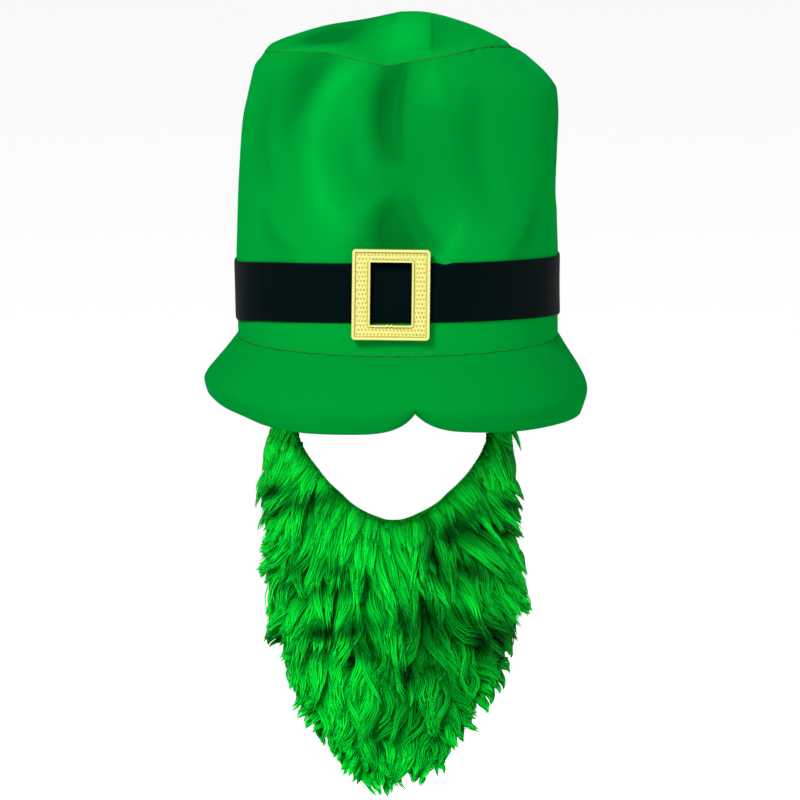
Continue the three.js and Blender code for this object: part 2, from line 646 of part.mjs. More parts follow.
function beard() {
  const bars = beardBars();
  const locks = lockRoots(bars).map((root, i) => lock(root.at, root.across, root.pile, root.size, i + 1));
  const whole = locks.reduce((sum, triangles) => sum.add(manifoldOf(triangles)), manifoldOf(pileSlab(bars)));
  const mesh = whole.getMesh();
  return new THREE.BufferGeometry()
    .setAttribute("position", new THREE.BufferAttribute(mesh.vertProperties, 3))
    .setIndex(new THREE.BufferAttribute(mesh.triVerts, 1));
}

const CLOTH_GREEN = new THREE.MeshStandardMaterial({ color: 0x009b38, roughness: 0.55, metalness: 0 });
const RIBBON_BLACK = new THREE.MeshStandardMaterial({ color: 0x0b1415, roughness: 0.5, metalness: 0 });
const BUCKLE_GOLD = new THREE.MeshStandardMaterial({ color: 0xebdc6e, roughness: 0.35, metalness: 0.6 });
const FUR_GREEN = new THREE.MeshStandardMaterial({ color: 0x04a92a, roughness: 0.7, metalness: 0 });

function piece(name, geometry, material) {
  const mesh = new THREE.Mesh(geometry, material);
  mesh.name = name;
  return mesh;
}

const hat = new THREE.Group();
hat.add(piece("crown_wall", crownWall(), CLOTH_GREEN));
hat.add(piece("crown_tip", crownTip(), CLOTH_GREEN));
hat.add(piece("brim", brim(), CLOTH_GREEN));
hat.add(piece("hat_band", hatBand(), RIBBON_BLACK));
const buckleFrame = piece("buckle", buckle(), BUCKLE_GOLD);
buckleFrame.position.set(BUCKLE_SHIFT, -buckleFront(), BUCKLE_LEVEL);
buckleFrame.rotation.y = BUCKLE_LEAN * DEGREE;
hat.add(buckleFrame);
hat.add(piece("beard", beard(), FUR_GREEN));

export default hat;
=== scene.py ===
import bmesh
import bpy
import numpy as np
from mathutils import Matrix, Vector


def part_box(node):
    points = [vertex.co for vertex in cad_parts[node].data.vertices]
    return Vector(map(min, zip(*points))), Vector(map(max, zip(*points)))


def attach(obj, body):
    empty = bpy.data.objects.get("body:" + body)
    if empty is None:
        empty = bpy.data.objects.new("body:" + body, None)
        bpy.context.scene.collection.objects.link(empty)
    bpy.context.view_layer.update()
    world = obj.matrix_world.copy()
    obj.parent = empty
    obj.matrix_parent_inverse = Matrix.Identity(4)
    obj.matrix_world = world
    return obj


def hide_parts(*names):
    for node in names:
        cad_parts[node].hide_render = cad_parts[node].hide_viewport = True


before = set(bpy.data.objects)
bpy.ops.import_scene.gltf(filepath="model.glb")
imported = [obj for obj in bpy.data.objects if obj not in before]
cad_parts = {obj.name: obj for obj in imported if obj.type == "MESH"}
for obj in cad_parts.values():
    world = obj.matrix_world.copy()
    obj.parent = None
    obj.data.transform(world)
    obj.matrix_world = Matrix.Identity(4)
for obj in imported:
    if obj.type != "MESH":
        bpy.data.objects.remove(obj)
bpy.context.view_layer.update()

BUCKLE_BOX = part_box("buckle")
BODY = "root"

bl_info = {
    "name": "Leprechaun Hat",
    "version": (1, 0, 0),
    "blender": (4, 5, 0),
    "location": "View3D > Sidebar > Hat",
    "description": "A soft costume hat with a ribbon band, a gold buckle and a shaggy beard",
    "category": "Object",
}


def table(names, *rows):
    """A table with named columns, as one array for each column."""
    return dict(zip(names.split(), np.array(rows, dtype=float).T))


# Crown sections from the brim seam (at 0) to the tip seam (at 1), as shares of the half width or half
# depth
CROWN_SECTIONS = table(
    "at left right front back",
    (0.00, 1.000, 1.000, 1.000, 1.000),
    (0.22, 1.010, 1.000, 1.000, 1.010),
    (0.45, 1.006, 0.998, 0.980, 1.010),
    (0.65, 0.988, 1.004, 0.955, 0.995),
    (0.76, 0.974, 1.010, 0.935, 0.980),
    (0.85, 0.942, 0.998, 0.910, 0.960),
    (0.90, 0.921, 0.943, 0.890, 0.935),
    (0.95, 0.897, 0.850, 0.860, 0.890),
    (0.98, 0.856, 0.780, 0.825, 0.835),
    (1.00, 0.831, 0.706, 0.800, 0.790),
)

# Slumps (positive depth) and ridges (negative) of the crown wall, as shares of the fold depth. A fold
# runs between two heights, as shares of the crown's, turned to angles in degrees from the front, and
# spreads to each side.
CROWN_FOLDS = table(
    "low high low_turn high_turn left right depth",
    (0.18, 1.12, -2, 3, 13, 17, 0.80),
    (0.20, 1.10, -20, -19, 12, 10, -0.35),
    (0.35, 1.10, -47, -38, 14, 10, 0.45),
    (0.10, 0.75, 30, 26, 10, 14, -0.25),
    (0.50, 1.10, 44, 36, 10, 14, 0.30),
    (0.30, 1.10, -152, -140, 16, 20, 0.60),
    (0.25, 1.00, 178, 184, 16, 14, -0.30),
    (0.35, 1.15, 140, 150, 16, 18, 0.70),
    (-0.10, 0.50, -17, -17, 9, 9, -0.13),
    (-0.10, 0.50, 12, 12, 9, 9, -0.13),
)
FOLD_SPLAY = 1.5  # how much wider a fold is at its low end than at its high one

# Soft wrinkles (positive depth) and ridges (negative) of the crown's cloth, each from one end to the
# other: angles from the front, shares of the crown's height, half its width and its depth in metres. The
# side to the left of the run is the steep one; a negative width turns it round.
WRINKLES = table(
    "turn_a up_a turn_b up_b width depth",
    (5, 1.06, 0, 0.64, 0.0120, 0.0064),
    (-17, 1.00, -35, 0.70, 0.0130, -0.0028),
    (-37, 0.78, -18, 0.38, 0.0120, -0.0032),
    (-25, 1.04, -54, 0.68, 0.0180, 0.0036),
    (-20, 0.78, -12, 0.52, 0.0110, 0.0020),
    (18, 0.99, 20, 0.82, 0.0130, -0.0018),
    (-4, 0.52, 10, 0.30, 0.0160, 0.0056),
    (5, 0.54, 21, 0.33, 0.0070, 0.0026),
    (27, 0.46, 12, 0.30, -0.0070, -0.0022),
    (34, 0.86, 40, 0.40, 0.0200, 0.0026),
    (-62, 0.90, -56, 0.50, 0.0130, 0.0020),
    (-60, 0.45, -40, 0.30, 0.0100, 0.0020),
    (62, 0.46, 44, 0.28, -0.0100, 0.0018),
    (84, 0.88, 92, 0.45, 0.0120, 0.0024),
    (120, 0.95, 108, 0.40, 0.0110, 0.0026),
    (150, 0.50, 176, 0.30, 0.0100, 0.0022),
    (168, 0.98, 172, 0.55, 0.0120, 0.0028),
    (-160, 0.90, -148, 0.42, 0.0110, 0.0026),
    (-128, 0.55, -150, 0.28, -0.0100, 0.0020),
    (-100, 0.92, -96, 0.46, 0.0130, 0.0024),
)
WRINKLE_STEEP, WRINKLE_GENTLE = 0.55, 1.35  # half width of a wrinkle's two sides, as shares of its own
WRINKLE_BOW = 0.10  # how far a wrinkle bows out, as a share of its length
PUCKER_REACH = 0.010  # metres over which the gathers fade away from the crown's seams
PUCKER_FADE = 9  # the same for the tip and brim, as a power of the share of the way to the seam
SEAM_PULL = 0.020  # metres over which a seam draws the wall in
SEAM_FLAT = 0.006  # metres over which wrinkles die away at a seam
LOOSE_FROM = 0.3  # the crown's cloth hangs loose above this share of its height
FOLD_SHADE = 0.35  # how much painted shade a slump gets, beside a wrinkle of the same depth
TIP_SHADE = 1.9  # how much painted shade a hollow of the tip gets, in the same way
TIP_LIGHT = 0.15  # how much painted light makes the tip paler than the wall

# Even unevenness of cloth and fur: seed, whole turns round the hat, waves the other way, and sines added
# up
WAVES = {
    "crown puckers": (3, (26, 60), (0, 1), 9),
    "crown ripples": (5, (2, 9), (0.3, 2.2), 12),
    "tip puckers": (11, (24, 52), (0, 1), 8),
    "tip ripples": (13, (1, 7), (0.2, 1.4), 9),
    "brim ripples": (21, (3, 11), (0.1, 0.7), 9),
    "brim puckers": (23, (26, 60), (0, 1), 9),
    "ribbon edges": (31, (5, 19), (0, 0.6), 8),
    "underfur lumps": (41, (4, 16), (1.0, 7.0), 14),
}

# Places of each mesh: round the hat first, then along its section
CROWN_STEPS = (320, 110, 24)  # outside and inside
TIP_STEPS = (220, 16, 9, 46)  # underside, rim and dome
BRIM_STEPS = (320, 44, 11)  # faces and edge
RIBBON_STEPS = (320, 16)
CORD_STEPS = (1080, 6)
BUCKLE_STEPS = (160, 8)  # along a side and round a corner
RIM_STEPS = 9  # over one of the buckle's rims
PANEL_STEPS = 40  # across the buckle's panel
BACKING_STEPS = (121, 20)
UNDERFUR_STEPS = (181, 36)
LOCK_STEPS = (13, 2, 6)  # places along a lock's line, every second of which is kept, and sides
HAIR_SIDES = 3

# Height of the tip seam round the crown, as a share of the crown height, with angles from the front
TIP_SEAM = table(
    "angle height",
    (-90, 0.990), (-38, 1.010), (-16, 0.982), (-5, 0.968), (4, 0.978), (24, 0.998),
    (50, 1.022), (90, 1.005), (140, 1.000), (180, 1.010), (225, 0.985),
)

# Hollows (positive depth) and swells (negative) of the tip, as shares of the crown's half width and half
# depth
TIP_FOLDS = table(
    "x y spread_x spread_y depth",
    (-0.43, -0.42, 0.20, 0.22, 0.90),
    (-0.20, 0.15, 0.22, 0.45, 0.50),
    (0.02, -0.45, 0.17, 0.40, -0.45),
    (0.20, 0.10, 0.24, 0.24, -0.35),
    (-0.10, 0.50, 0.30, 0.20, 0.50),
)
PLEAT_AT = 0.205  # line of the tip's pleat, as a share of the half width
PLEAT_SPREAD = 0.12
PLEAT_BACK = 0.15  # how far behind the middle the pleat ends, as a share of the half depth
PLEAT_SHARE = 0.55  # of the tip's fold depth
TIP_SEAM_HOLD = 0.2  # share of the way in from the seam over which the seam holds the folds flat

# The brim's hang round the hat: shares of its reach and its drop, with angles from the front
BRIM_HANG = table(
    "angle reach drop",
    (-90, 1.02, 0.79), (-70, 1.02, 0.805), (-58, 1.00, 0.85), (-45, 1.00, 0.95), (-30, 1.00, 0.985),
    (-10, 0.96, 0.985), (6, 0.90, 0.975), (22, 0.96, 0.985), (40, 0.99, 0.995), (70, 0.90, 0.985),
    (90, 0.83, 1.00), (120, 1.05, 0.96), (150, 0.90, 1.10), (180, 1.10, 1.02), (210, 0.90, 1.08),
    (240, 1.10, 0.92),
)

# The brim from its seam to its edge: shares of the drop and of the reach
BRIM_PROFILE = table(
    "down out",
    (0.0, 0.0), (0.25, 0.37), (0.5, 0.74), (0.64, 0.92), (0.76, 1.0), (0.88, 0.96), (1.0, 0.87),
)
EDGE_ROLL = 0.12  # share of the way up over which the brim's edge is padded

# Lower edge of the band round the crown, as a share of its lift, with angles from the front
BAND_EDGE = table("angle lift", (-90, 0.62), (-45, 0.90), (0, 1.0), (45, 0.98), (90, 0.87), (180, 0.95))
BUCKLE_HOLD = 26  # degrees to each side of the front over which the buckle holds the ribbon's edges down

# The fur cloth round the face gap, with angles from straight down: inner is a share of the gap's radius,
# outer and tips, where the longest hairs end, are shares of the beard's length.
BEARD_BARS = table(
    "angle inner outer tips",
    (-90, 1.050, 0.330, 0.340),
    (-77, 0.990, 0.345, 0.390),
    (-62, 0.920, 0.375, 0.422),
    (-50, 0.900, 0.430, 0.480),
    (-40, 0.890, 0.535, 0.575),
    (-31, 0.910, 0.630, 0.665),
    (-24, 0.925, 0.710, 0.760),
    (-17, 0.940, 0.800, 0.868),
    (-10, 0.955, 0.885, 0.935),
    (-3, 0.975, 0.940, 1.015),
    (4, 0.975, 0.935, 1.010),
    (11, 0.960, 0.875, 0.912),
    (18, 0.940, 0.800, 0.835),
    (25, 0.930, 0.730, 0.775),
    (33, 0.920, 0.635, 0.670),
    (41, 0.905, 0.530, 0.587),
    (50, 0.915, 0.440, 0.477),
    (62, 0.945, 0.385, 0.408),
    (77, 1.000, 0.340, 0.358),
    (90, 1.050, 0.325, 0.344),
)

# The two straps from the face gap up to the sewn ends: share of the way up, and distances from the middle
# as shares of those of the bar at 90 degrees
STRAP_BARS = table(
    "up inner outer",
    (0.0, 1.0, 1.0), (0.28, 1.02, 1.0), (0.55, 1.03, 0.99), (1.0, 1.04, 0.98),
)
STRAP_TURN = 40  # degrees of the beard's run that each strap takes up
SIDE_PILE = 0.55  # depth of the pile beside the face, as a share of that under the chin
BACKING_REACH = 0.95  # the knitted backing's width, as a share of the fur cloth's
UNDERFUR_SHARE = 0.24  # depth of the short hair at the roots, as a share of the pile's
UNDERFUR_LAP = 0.0003  # metres by which the short hair's faces lie off the backing's face

# Depth of the pile from the gap's edge to the beard's outer edge, as a share of the full depth
PILE_PROFILE = table(
    "across depth",
    (0, 0.05), (0.14, 0.42), (0.38, 0.90), (0.68, 1.0), (0.90, 0.75), (1, 0.4),
)
PILE_EDGE = 0.09  # depth of the pile at the gap's edge, as a share of the full depth
PILE_RUN = 0.020  # metres from the gap's edge over which the pile gets its depth

# Where the fur lies which way: places from the middle of the face gap as shares of the beard's length,
# and headings in degrees from straight down, to the viewer's right
FUR_FLOW = table(
    "across down heading curl",
    (-0.33, 0.05, -12, 6),
    (-0.28, 0.25, -22, 14),
    (-0.33, 0.48, -14, 14),
    (-0.24, 0.74, -12, 18),
    (-0.10, 0.32, -2, 8),
    (0.03, 0.32, 10, 8),
    (0.12, 0.36, 24, 14),
    (0.00, 0.55, 3, 20),
    (0.08, 0.72, -8, 30),
    (-0.10, 0.75, -8, 24),
    (-0.03, 0.93, -3, 20),
    (0.12, 0.90, 4, 20),
    (0.28, 0.27, 32, 10),
    (0.33, 0.06, 10, 8),
    (0.34, 0.48, 22, 10),
    (0.22, 0.58, 28, 22),
    (0.26, 0.76, 12, 20),
)
FLOW_SPREAD = 0.10

# Steps in the fur, where a raised tier ends over a lower one in painted shadow: the step's two ends and how
# marked it is
FUR_STEPS = table(
    "across_a down_a across_b down_b strength",
    (-0.40, 0.215, -0.17, 0.165, 1.0),
    (-0.32, 0.420, -0.08, 0.400, 0.8),
    (0.15, 0.250, 0.46, 0.240, 1.0),
    (0.06, 0.350, 0.17, 0.400, 0.7),
    (-0.40, 0.580, 0.02, 0.600, 0.9),
    (0.17, 0.500, 0.36, 0.580, 1.0),
    (0.02, 0.760, 0.20, 0.740, 0.5),
)

# Zones beside a step, in metres: how far below the step their middle lies, and their spread
STEP_LOW = (0.006, 0.008)  # locks that start here lie low
STEP_HIGH = (-0.016, 0.014)  # locks that start here lie high
STEP_SHADOW = (0.007, 0.0085)  # hair here gets painted shadow
STEP_AT = -0.003  # where the low locks begin
STEP_ROOTS = 0.010  # metres over a step past which locks hang over it, out of its shadow

# Hollows where the fur lies lower and gets painted shade, and (with a negative strength) swells that get
# painted light: their middle, half size and how far they lean down to the viewer's right
FUR_SHADES = table(
    "across down wide tall lean strength",
    (-0.307, 0.184, 0.055, 0.032, -0.35, 1.15),
    (-0.200, 0.400, 0.110, 0.036, 0.05, 0.95),
    (0.310, 0.218, 0.055, 0.028, 0.0, 1.15),
    (0.220, 0.240, 0.055, 0.030, -0.2, 0.80),
    (0.156, 0.300, 0.038, 0.040, 0.5, 1.00),
    (0.120, 0.370, 0.038, 0.034, 0.5, 1.00),
    (0.210, 0.400, 0.060, 0.036, 0.4, 0.85),
    (0.240, 0.600, 0.080, 0.070, 0.2, 1.15),
    (0.090, 0.565, 0.090, 0.075, 0.3, 0.95),
    (-0.140, 0.577, 0.150, 0.030, -0.15, 1.10),
    (0.055, 0.700, 0.120, 0.050, 0.0, 0.80),
    (0.200, 0.720, 0.060, 0.040, -0.3, 0.55),
    (0.020, 0.850, 0.130, 0.070, 0.0, 0.55),
    (0.290, 0.070, 0.060, 0.080, 0.0, 0.45),
    (-0.070, 0.330, 0.080, 0.070, 0.8, -0.70),
    (-0.210, 0.260, 0.090, 0.060, 0.0, -0.45),
    (-0.310, 0.080, 0.060, 0.060, 0.0, -0.60),
    (-0.210, 0.130, 0.050, 0.110, 1.0, -1.00),
    (-0.340, 0.330, 0.060, 0.100, 0.0, -0.50),
    (-0.300, 0.640, 0.060, 0.060, 0.0, -0.60),
    (-0.190, 0.700, 0.110, 0.065, 0.3, -0.85),
    (-0.300, 0.490, 0.060, 0.055, 0.0, -0.55),
    (0.290, 0.330, 0.060, 0.050, 0.3, -0.40),
    (0.250, 0.130, 0.070, 0.060, -0.5, -0.25),
)
RIGHT_SHADE = 0.65  # how much darker the fur gets from the middle to the viewer's right end

# Patches of fur that lie alike: seed and size in metres
PATCHES = {"heading": (51, 0.045), "bend": (52, 0.030), "phase": (53, 0.035), "tone": (61, 0.018)}
TIP_INSIDE = 0.002  # metres by which the hair over a lock's root lies inside the outline of the tips
WISP_REACH = 0.006  # metres by which a wisp stands out past that outline
TIP_SPREAD = (-0.006, 0.001)  # the same for the other locks, at least and at most
EDGE_LENGTH = 0.45  # length of the hair along the face gap's edge, as a share of the others'
TUFT_SHARE = 0.75  # how much of its line a lock takes from its tuft
FINE_SPACING = 0.5  # spacing of the roots along the outline and the gap's edge, as a share of the others'
OVERHANG = 0.014  # metres by which the locks over a step reach past it at most
LOCK_CORE = 0.75  # width of a lock's tube, as a share of the lock's
LOCK_FLAT = 0.35  # depth of the tube over its width
LOCK_BELOW = 0.0008  # metres by which the tube lies under its hairs
LOCK_SHADE = 0.75  # painted shade on the tube: its tone, as a share of its hairs'
CURL_TURNS = 0.9  # waves in a lock's length
HAIR_TIP = 0.22  # width of a hair at its tip, as a share of that at its root
HAIR_FLAT = 0.6  # depth of a hair over its width
HAIR_DOME = 0.35  # how far the middle hairs of a lock stand off its sides, as a share of its half width
HAIR_STRAY = 0.022  # how far the hairs' tips stray, as a share of a lock's length
SWELL_LIGHT = 0.55  # how much painted light brightens a full swell
HOLLOW_SHADE = 0.93  # how much painted shade darkens a full hollow
STEP_SHADE = 0.85  # the same painted shadow for the fur under a step, as a share of a full hollow

# The lights: place, and size of the square that shines, in metres
LIGHTS = {"key": ((-1.25, -2.3, 2.0), 0.8), "fill": ((3.0, -0.6, 0.5), 1.8)}


def length(name, description, default):
    """A size in metres that the user can change."""
    return bpy.props.FloatProperty(
        name=name, description=description, default=default, unit="LENGTH", precision=4, step=0.1
    )


def share(name, description, default):
    """A plain number that the user can change."""
    return bpy.props.FloatProperty(name=name, description=description, default=default, precision=3)


def count(name, description, default):
    """A whole number that the user can change."""
    return bpy.props.IntProperty(name=name, description=description, default=default, min=1)


def colour(name, description, red, green, blue):
    """A colour that the user can change, in linear light."""
    return bpy.props.FloatVectorProperty(
        name=name, description=description, default=(red, green, blue), subtype="COLOR", size=3, min=0, max=1
    )


class HatSizes(bpy.types.PropertyGroup):
    """Sizes of the crown, its tip and the brim"""

    crown_width: length("Crown width", "Outside, left to right, at the brim seam", 0.211)
    crown_depth: length("Crown depth", "Outside, front to back, at the brim seam", 0.186)
    crown_height: length("Crown height", "Brim seam to tip seam, at the sides", 0.1885)
    squareness: share("Squareness", "Exponent of the cross-section: 2 is an ellipse", 2.2)
    cloth: length("Cloth", "Crown cloth with its backing", 0.002)
    fold_depth: length("Fold depth", "Deepest slump in the crown wall", 0.009)
    seam_tilt: length("Seam tilt", "How far the brim seam drops at the front", 0.006)
    seam_roll: length("Seam roll", "Radius by which the cloth turns in at its seams", 0.0003)
    pucker: length("Pucker", "How deep the gathers beside the seams are", 0.0005)
    ripple: length("Ripple", "Gentle unevenness of the crown's cloth", 0.0011)
    # Painted shade: a wrinkle this deep gets the darkest painted tone of the cloth
    hollow: length("Hollow", "Depth of a wrinkle whose cloth shows its darkest tone", 0.0046)
    tip_roll: length("Tip roll", "How far in from its seam the tip's cloth starts to turn down", 0.005)
    tip_rise: length("Tip rise", "Height of the domed tip over its seam", 0.021)
    tip_fullness: share("Tip fullness", "Exponent of the dome: 2 is a parabola", 1.9)
    tip_fold_depth: length("Tip fold depth", "Hollow and pleat in the tip", 0.005)
    brim_reach: length("Brim reach", "How far the brim stands out", 0.022)
    brim_drop: length("Brim drop", "How far the brim hangs below its seam", 0.05)
    brim_thickness: length("Brim thickness", "Two layers of cloth and wadding", 0.0026)
    brim_puff: length("Brim puff", "Extra fullness near the brim's edge", 0.0009)
    brim_ripple: length("Brim ripple", "Gentle unevenness of the brim", 0.0009)
    # Painted shade over the whole brim
    brim_shade: share("Brim tone", "How dark the brim lies, as a share of the darkest wrinkle", 0.36)
    notch_depth: length("Notch depth", "Where the brim's two front lobes meet", 0.0135)
    notch_width: length("Notch width", "Spread of the notch", 0.012)
    notch_angle: share("Notch angle", "Degrees from the front", 6.0)
    notch_pinch: share("Notch pinch", "How far the notch is pulled in, of its depth", 0.35)
    notch_fade: share("Notch fade", "Power of the way down by which the notch fades above the edge", 4.0)
    gap: length("Gap", "Clearance between pieces that touch", 0.0003)


class BandSizes(bpy.types.PropertyGroup):
    """Sizes of the ribbon and of the seams' cords"""

    height: length("Height", "Width of the ribbon", 0.039)
    lift: length("Lift", "Lower edge over the origin's level, at the front", 0.016)
    thickness: length("Thickness", "Thickness of the ribbon", 0.0008)
    wave: length("Wave", "How far the ribbon's edges lift", 0.0005)
    stitch_length: length("Stitch length", "Length of a stitch of the brim's seam", 0.0032)
    cord: length("Cord", "Radius of the folded cloth in the seams", 0.00045)


class BuckleSizes(bpy.types.PropertyGroup):
    """Sizes of the moulded frame"""

    width: length("Width", "Outside", 0.051)
    height: length("Height", "Outside", 0.0595)
    thickness: length("Thickness", "Front to back", 0.004)
    corner: length("Corner", "Radius of the outer corners", 0.0024)
    lean: bpy.props.FloatProperty(
        name="Lean", description="Turn to the viewer's right", default=np.radians(0.7), subtype="ANGLE"
    )
    opening_width: length("Opening width", "Inside", 0.027)
    opening_height: length("Opening height", "Inside", 0.041)
    opening_raise: length("Opening raise", "The opening's middle over the buckle's", 0.0007)
    outer_rim: length("Outer rim", "Width of the rounded outer rim", 0.002)
    inner_rim: length("Inner rim", "Width of the rounded inner rim", 0.0015)
    rim_step: length("Rim step", "Height of the rims over the panel", 0.0012)
    groove: length("Groove", "Width of the grooves beside the rims", 0.0007)
    dimple_across: length("Dimple spacing", "Between the dimples of a row", 0.0023)
    dimple_up: length("Row spacing", "Between the rows of dimples", 0.0029)
    dimple_depth: length("Dimple depth", "How deep the dimples are", 0.0007)
    dimple_slant: share("Dimple slant", "Run across for each unit down", 0.4)
    dimple_wide: share("Dimple width", "Half width of a dimple, as a share of their spacing", 0.22)
    dimple_tall: share("Dimple height", "Half height of a dimple, as a share of the row spacing", 0.36)
    nub: length("Nub", "Height of the two moulding marks on the opening's lower edge", 0.0005)
    nub_across: length("Nub spacing", "Between the two marks", 0.0028)
    nub_width: length("Nub width", "Half width of a mark", 0.0005)
    least_corner: length("Least corner", "Radius that a corner keeps inside the outer rim", 0.0002)
    opening_corner: length("Opening corner", "Radius of the opening's corners", 0.0004)


class BeardSizes(bpy.types.PropertyGroup):
    """Sizes of the fur cloth and where it hangs"""

    gap_radius: length("Face gap radius", "Half width of the face gap", 0.060)
    gap_level: length("Face gap level", "Middle of the face gap", -0.0554)
    gap_shift: length("Face gap shift", "Middle of the face gap, to the viewer's right", -0.0033)
    length: length("Beard length", "Middle of the face gap to the longest tips", 0.228)
    tuck: length("Tuck", "How far the lower end swings back", 0.008)
    wrap: share("Wrap", "Share of the half width past which the curve runs straight", 0.94)
    strap_top: length("Strap top", "The sewn ends inside the crown", 0.012)
    backing: length("Backing", "Knitted backing of the fur cloth", 0.002)
    pile: length("Pile", "Body of the fur", 0.013)
    fur_rise: length("Fur rise", "How far the long fur goes up the straps, over the gap's middle", 0.040)


class FurSizes(bpy.types.PropertyGroup):
    """Sizes of the locks and hairs"""

    seed: count("Seed", "Start of the random numbers", 7)
    spacing: length("Lock spacing", "Between the roots of neighbouring locks", 0.0050)
    tuft: length("Tuft spacing", "Between the tufts that locks gather in", 0.013)
    lock_length: length("Lock length", "Along its curve", 0.044)
    lock_width: length("Lock width", "Across its middle", 0.0056)
    tip_share: share("Tip share", "Width of a lock at its tip, of its width at the root", 0.12)
    hairs: count("Hairs", "Single hairs over each lock", 8)
    hair_width: length("Hair width", "At its thickest", 0.0017)
    lift: length("Lift", "How far the highest tips stand off the pile", 0.006)
    gather: share("Gather", "How far a lock's tip leans over to its tuft's middle", 0.75)
    stray: share("Stray", "Degrees over which neighbouring locks' headings vary", 6.0)
    wisps: share("Wisps", "Share of the locks that stand out past the outline", 0.05)


class HatColours(bpy.types.PropertyGroup):
    """Colours of the cloth, ribbon, plastic and fur"""

    cloth: colour("Cloth", "Satin of the crown and brim", 0.0, 0.134, 0.0138)
    seam: colour("Seam", "Folded cloth in the seams", 0.008, 0.105, 0.011)
    ribbon: colour("Ribbon", "Black band", 0.0, 0.0013, 0.0016)
    gold: colour("Gold", "Plated plastic", 0.365, 0.355, 0.115)
    # Painted shade for the gold in the grooves and the panel's dashes
    groove: colour("Groove", "The plating's hollows", 0.27, 0.225, 0.0)
    fur_tip: colour("Fur tips", "Ends of the hairs", 0.001, 0.465, 0.023)
    # Painted shade deep in the pile: the colour the hair fades to at its roots
    fur_root_shade: colour("Fur roots", "Hairs near the backing", 0.0, 0.075, 0.002)
    backing: colour("Backing", "Knitted back of the fur cloth", 0.0, 0.24, 0.03)


class StageSizes(bpy.types.PropertyGroup):
    """The camera, the floor and the light"""

    camera_distance: length("Camera distance", "From the aim", 8.0)
    camera_rise: bpy.props.FloatProperty(
        name="Camera rise", description="Above the horizon", default=np.radians(6.0), subtype="ANGLE"
    )
    view_height: length("View height", "What the picture takes in at the hat", 0.528)
    aim_across: length("Aim across", "Where the camera looks", 0.00132)
    aim_level: length("Aim level", "Where the camera looks", -0.0445)
    floor_level: length("Floor level", "Below the beard", -0.60)
    floor_radius: length("Floor radius", "Flat round floor", 40.0)
    key_power: share("Key power", "Watts of the main light", 230.0)
    fill_power: share("Fill power", "Watts of the light from the right", 65.0)
    daylight: share("Daylight", "Strength of the even light all round", 1.0)
    floor_colour: colour("Floor colour", "Pale floor", 0.93, 0.93, 0.93)


GROUPS = {
    "hat": HatSizes,
    "hat_band": BandSizes,
    "hat_buckle": BuckleSizes,
    "hat_beard": BeardSizes,
    "hat_fur": FurSizes,
    "hat_colours": HatColours,
    "hat_stage": StageSizes,
}


def mix(a, b, part):
    """The value a part of the way from a to b."""
    return a + (b - a) * part


def bell(away):
    """1 at no distance, and less and less away from there."""
    return np.exp(-(away**2))


def wrapped(angle):
    """The same angle in degrees, from -180 to 180."""
    return np.mod(angle + 180, 360) - 180


def round_the_hat(number):
    """A row of angles in degrees from the front, once round the hat."""
    return np.linspace(0, 360, number, endpoint=False)[None, :]


def along(rows, key, column, place):
    """One column of a table by cubic pieces: each row's slope is the harmonic mean of the slopes beside
    it, or zero at a turn, so that no piece passes its rows' values."""
    x, y = rows[key], rows[column]
    slope = np.diff(y) / np.diff(x)
    before, after = slope[:-1], slope[1:]
    steady = before * after > 0
    middle = np.where(steady, 2 * before * after / np.where(steady, before + after, 1), 0)
    tangent = np.concatenate([slope[:1], middle, slope[-1:]])
    i = np.clip(np.searchsorted(x, place, side="right") - 1, 0, len(x) - 2)
    span = x[i + 1] - x[i]
    t = np.clip((place - x[i]) / span, 0, 1)
    start = (1 + 2 * t) * (1 - t) ** 2 * y[i] + t * (1 - t) ** 2 * span * tangent[i]
    return start + t * t * (3 - 2 * t) * y[i + 1] + t * t * (t - 1) * span * tangent[i + 1]


def turned(rows, column, angle):
    """The same for a table of angles that goes once round the hat, with two rows repeated past each
    end."""
    angles = rows["angle"]
    longer = {
        "angle": np.concatenate([angles[-2:] - 360, angles, angles[:2] + 360]),
        column: np.concatenate([rows[column][-2:], rows[column], rows[column][:2]]),
    }
    return along(longer, "angle", column, angles[0] + np.mod(angle - angles[0], 360))


def polar(angle, radius, level):
    """Points at an angle in degrees from the front, a distance from the axis and a level."""
    x, y = radius * np.sin(np.radians(angle)), -radius * np.cos(np.radians(angle))
    return np.stack(np.broadcast_arrays(x, y, level), axis=-1)


def fold_depth(angle, height):
    """Sum of the wall's folds, each a bell across times a sine fade along."""
    total = np.zeros(np.broadcast(angle, height).shape)
    for low, high, low_turn, high_turn, left, right, depth in zip(*CROWN_FOLDS.values()):
        up = np.clip((height - low) / (high - low), 0, 1)
        away = wrapped(angle - mix(low_turn, high_turn, up))
        spread = mix(FOLD_SPLAY, 1, up) * np.where(away < 0, left, right)
        fade = np.sin(np.pi * np.minimum(up, 0.5)) ** 1.5
        upper = np.maximum(up - 0.5, 0)
        closing = np.where(up < 0.5, 1, np.sqrt(np.maximum(np.cos(np.pi * upper), 0)))
        total = total + depth * bell(away / spread) * fade * closing
    return total


def wrinkle_depth(hat, angle, height):
    """Sum of the wrinkles: across each runs a bell, steeper on one side, and along it a sine."""
    total = np.zeros(np.broadcast(angle, height).shape)
    around = np.radians(hat.crown_width / 2)
    for turn_a, up_a, turn_b, up_b, width, depth in zip(*WRINKLES.values()):
        run = np.array([wrapped(turn_b - turn_a), up_b - up_a]) * (around, hat.crown_height)
        size = np.hypot(*run)
        x = wrapped(angle - turn_a) * around
        z = (height - up_a) * hat.crown_height
        part = (x * run[0] + z * run[1]) / size**2
        away = (x * run[1] - z * run[0]) / size * np.sign(width)
        away = away - WRINKLE_BOW * size * np.sin(np.pi * np.clip(part, 0, 1))
        spread = np.where(away < 0, WRINKLE_STEEP, WRINKLE_GENTLE) * abs(width)
        fade = np.sin(np.pi * np.clip(part * 0.9 + 0.1, 0, 1)) ** 0.8
        total = total + depth * bell(away / spread) * fade
    return total


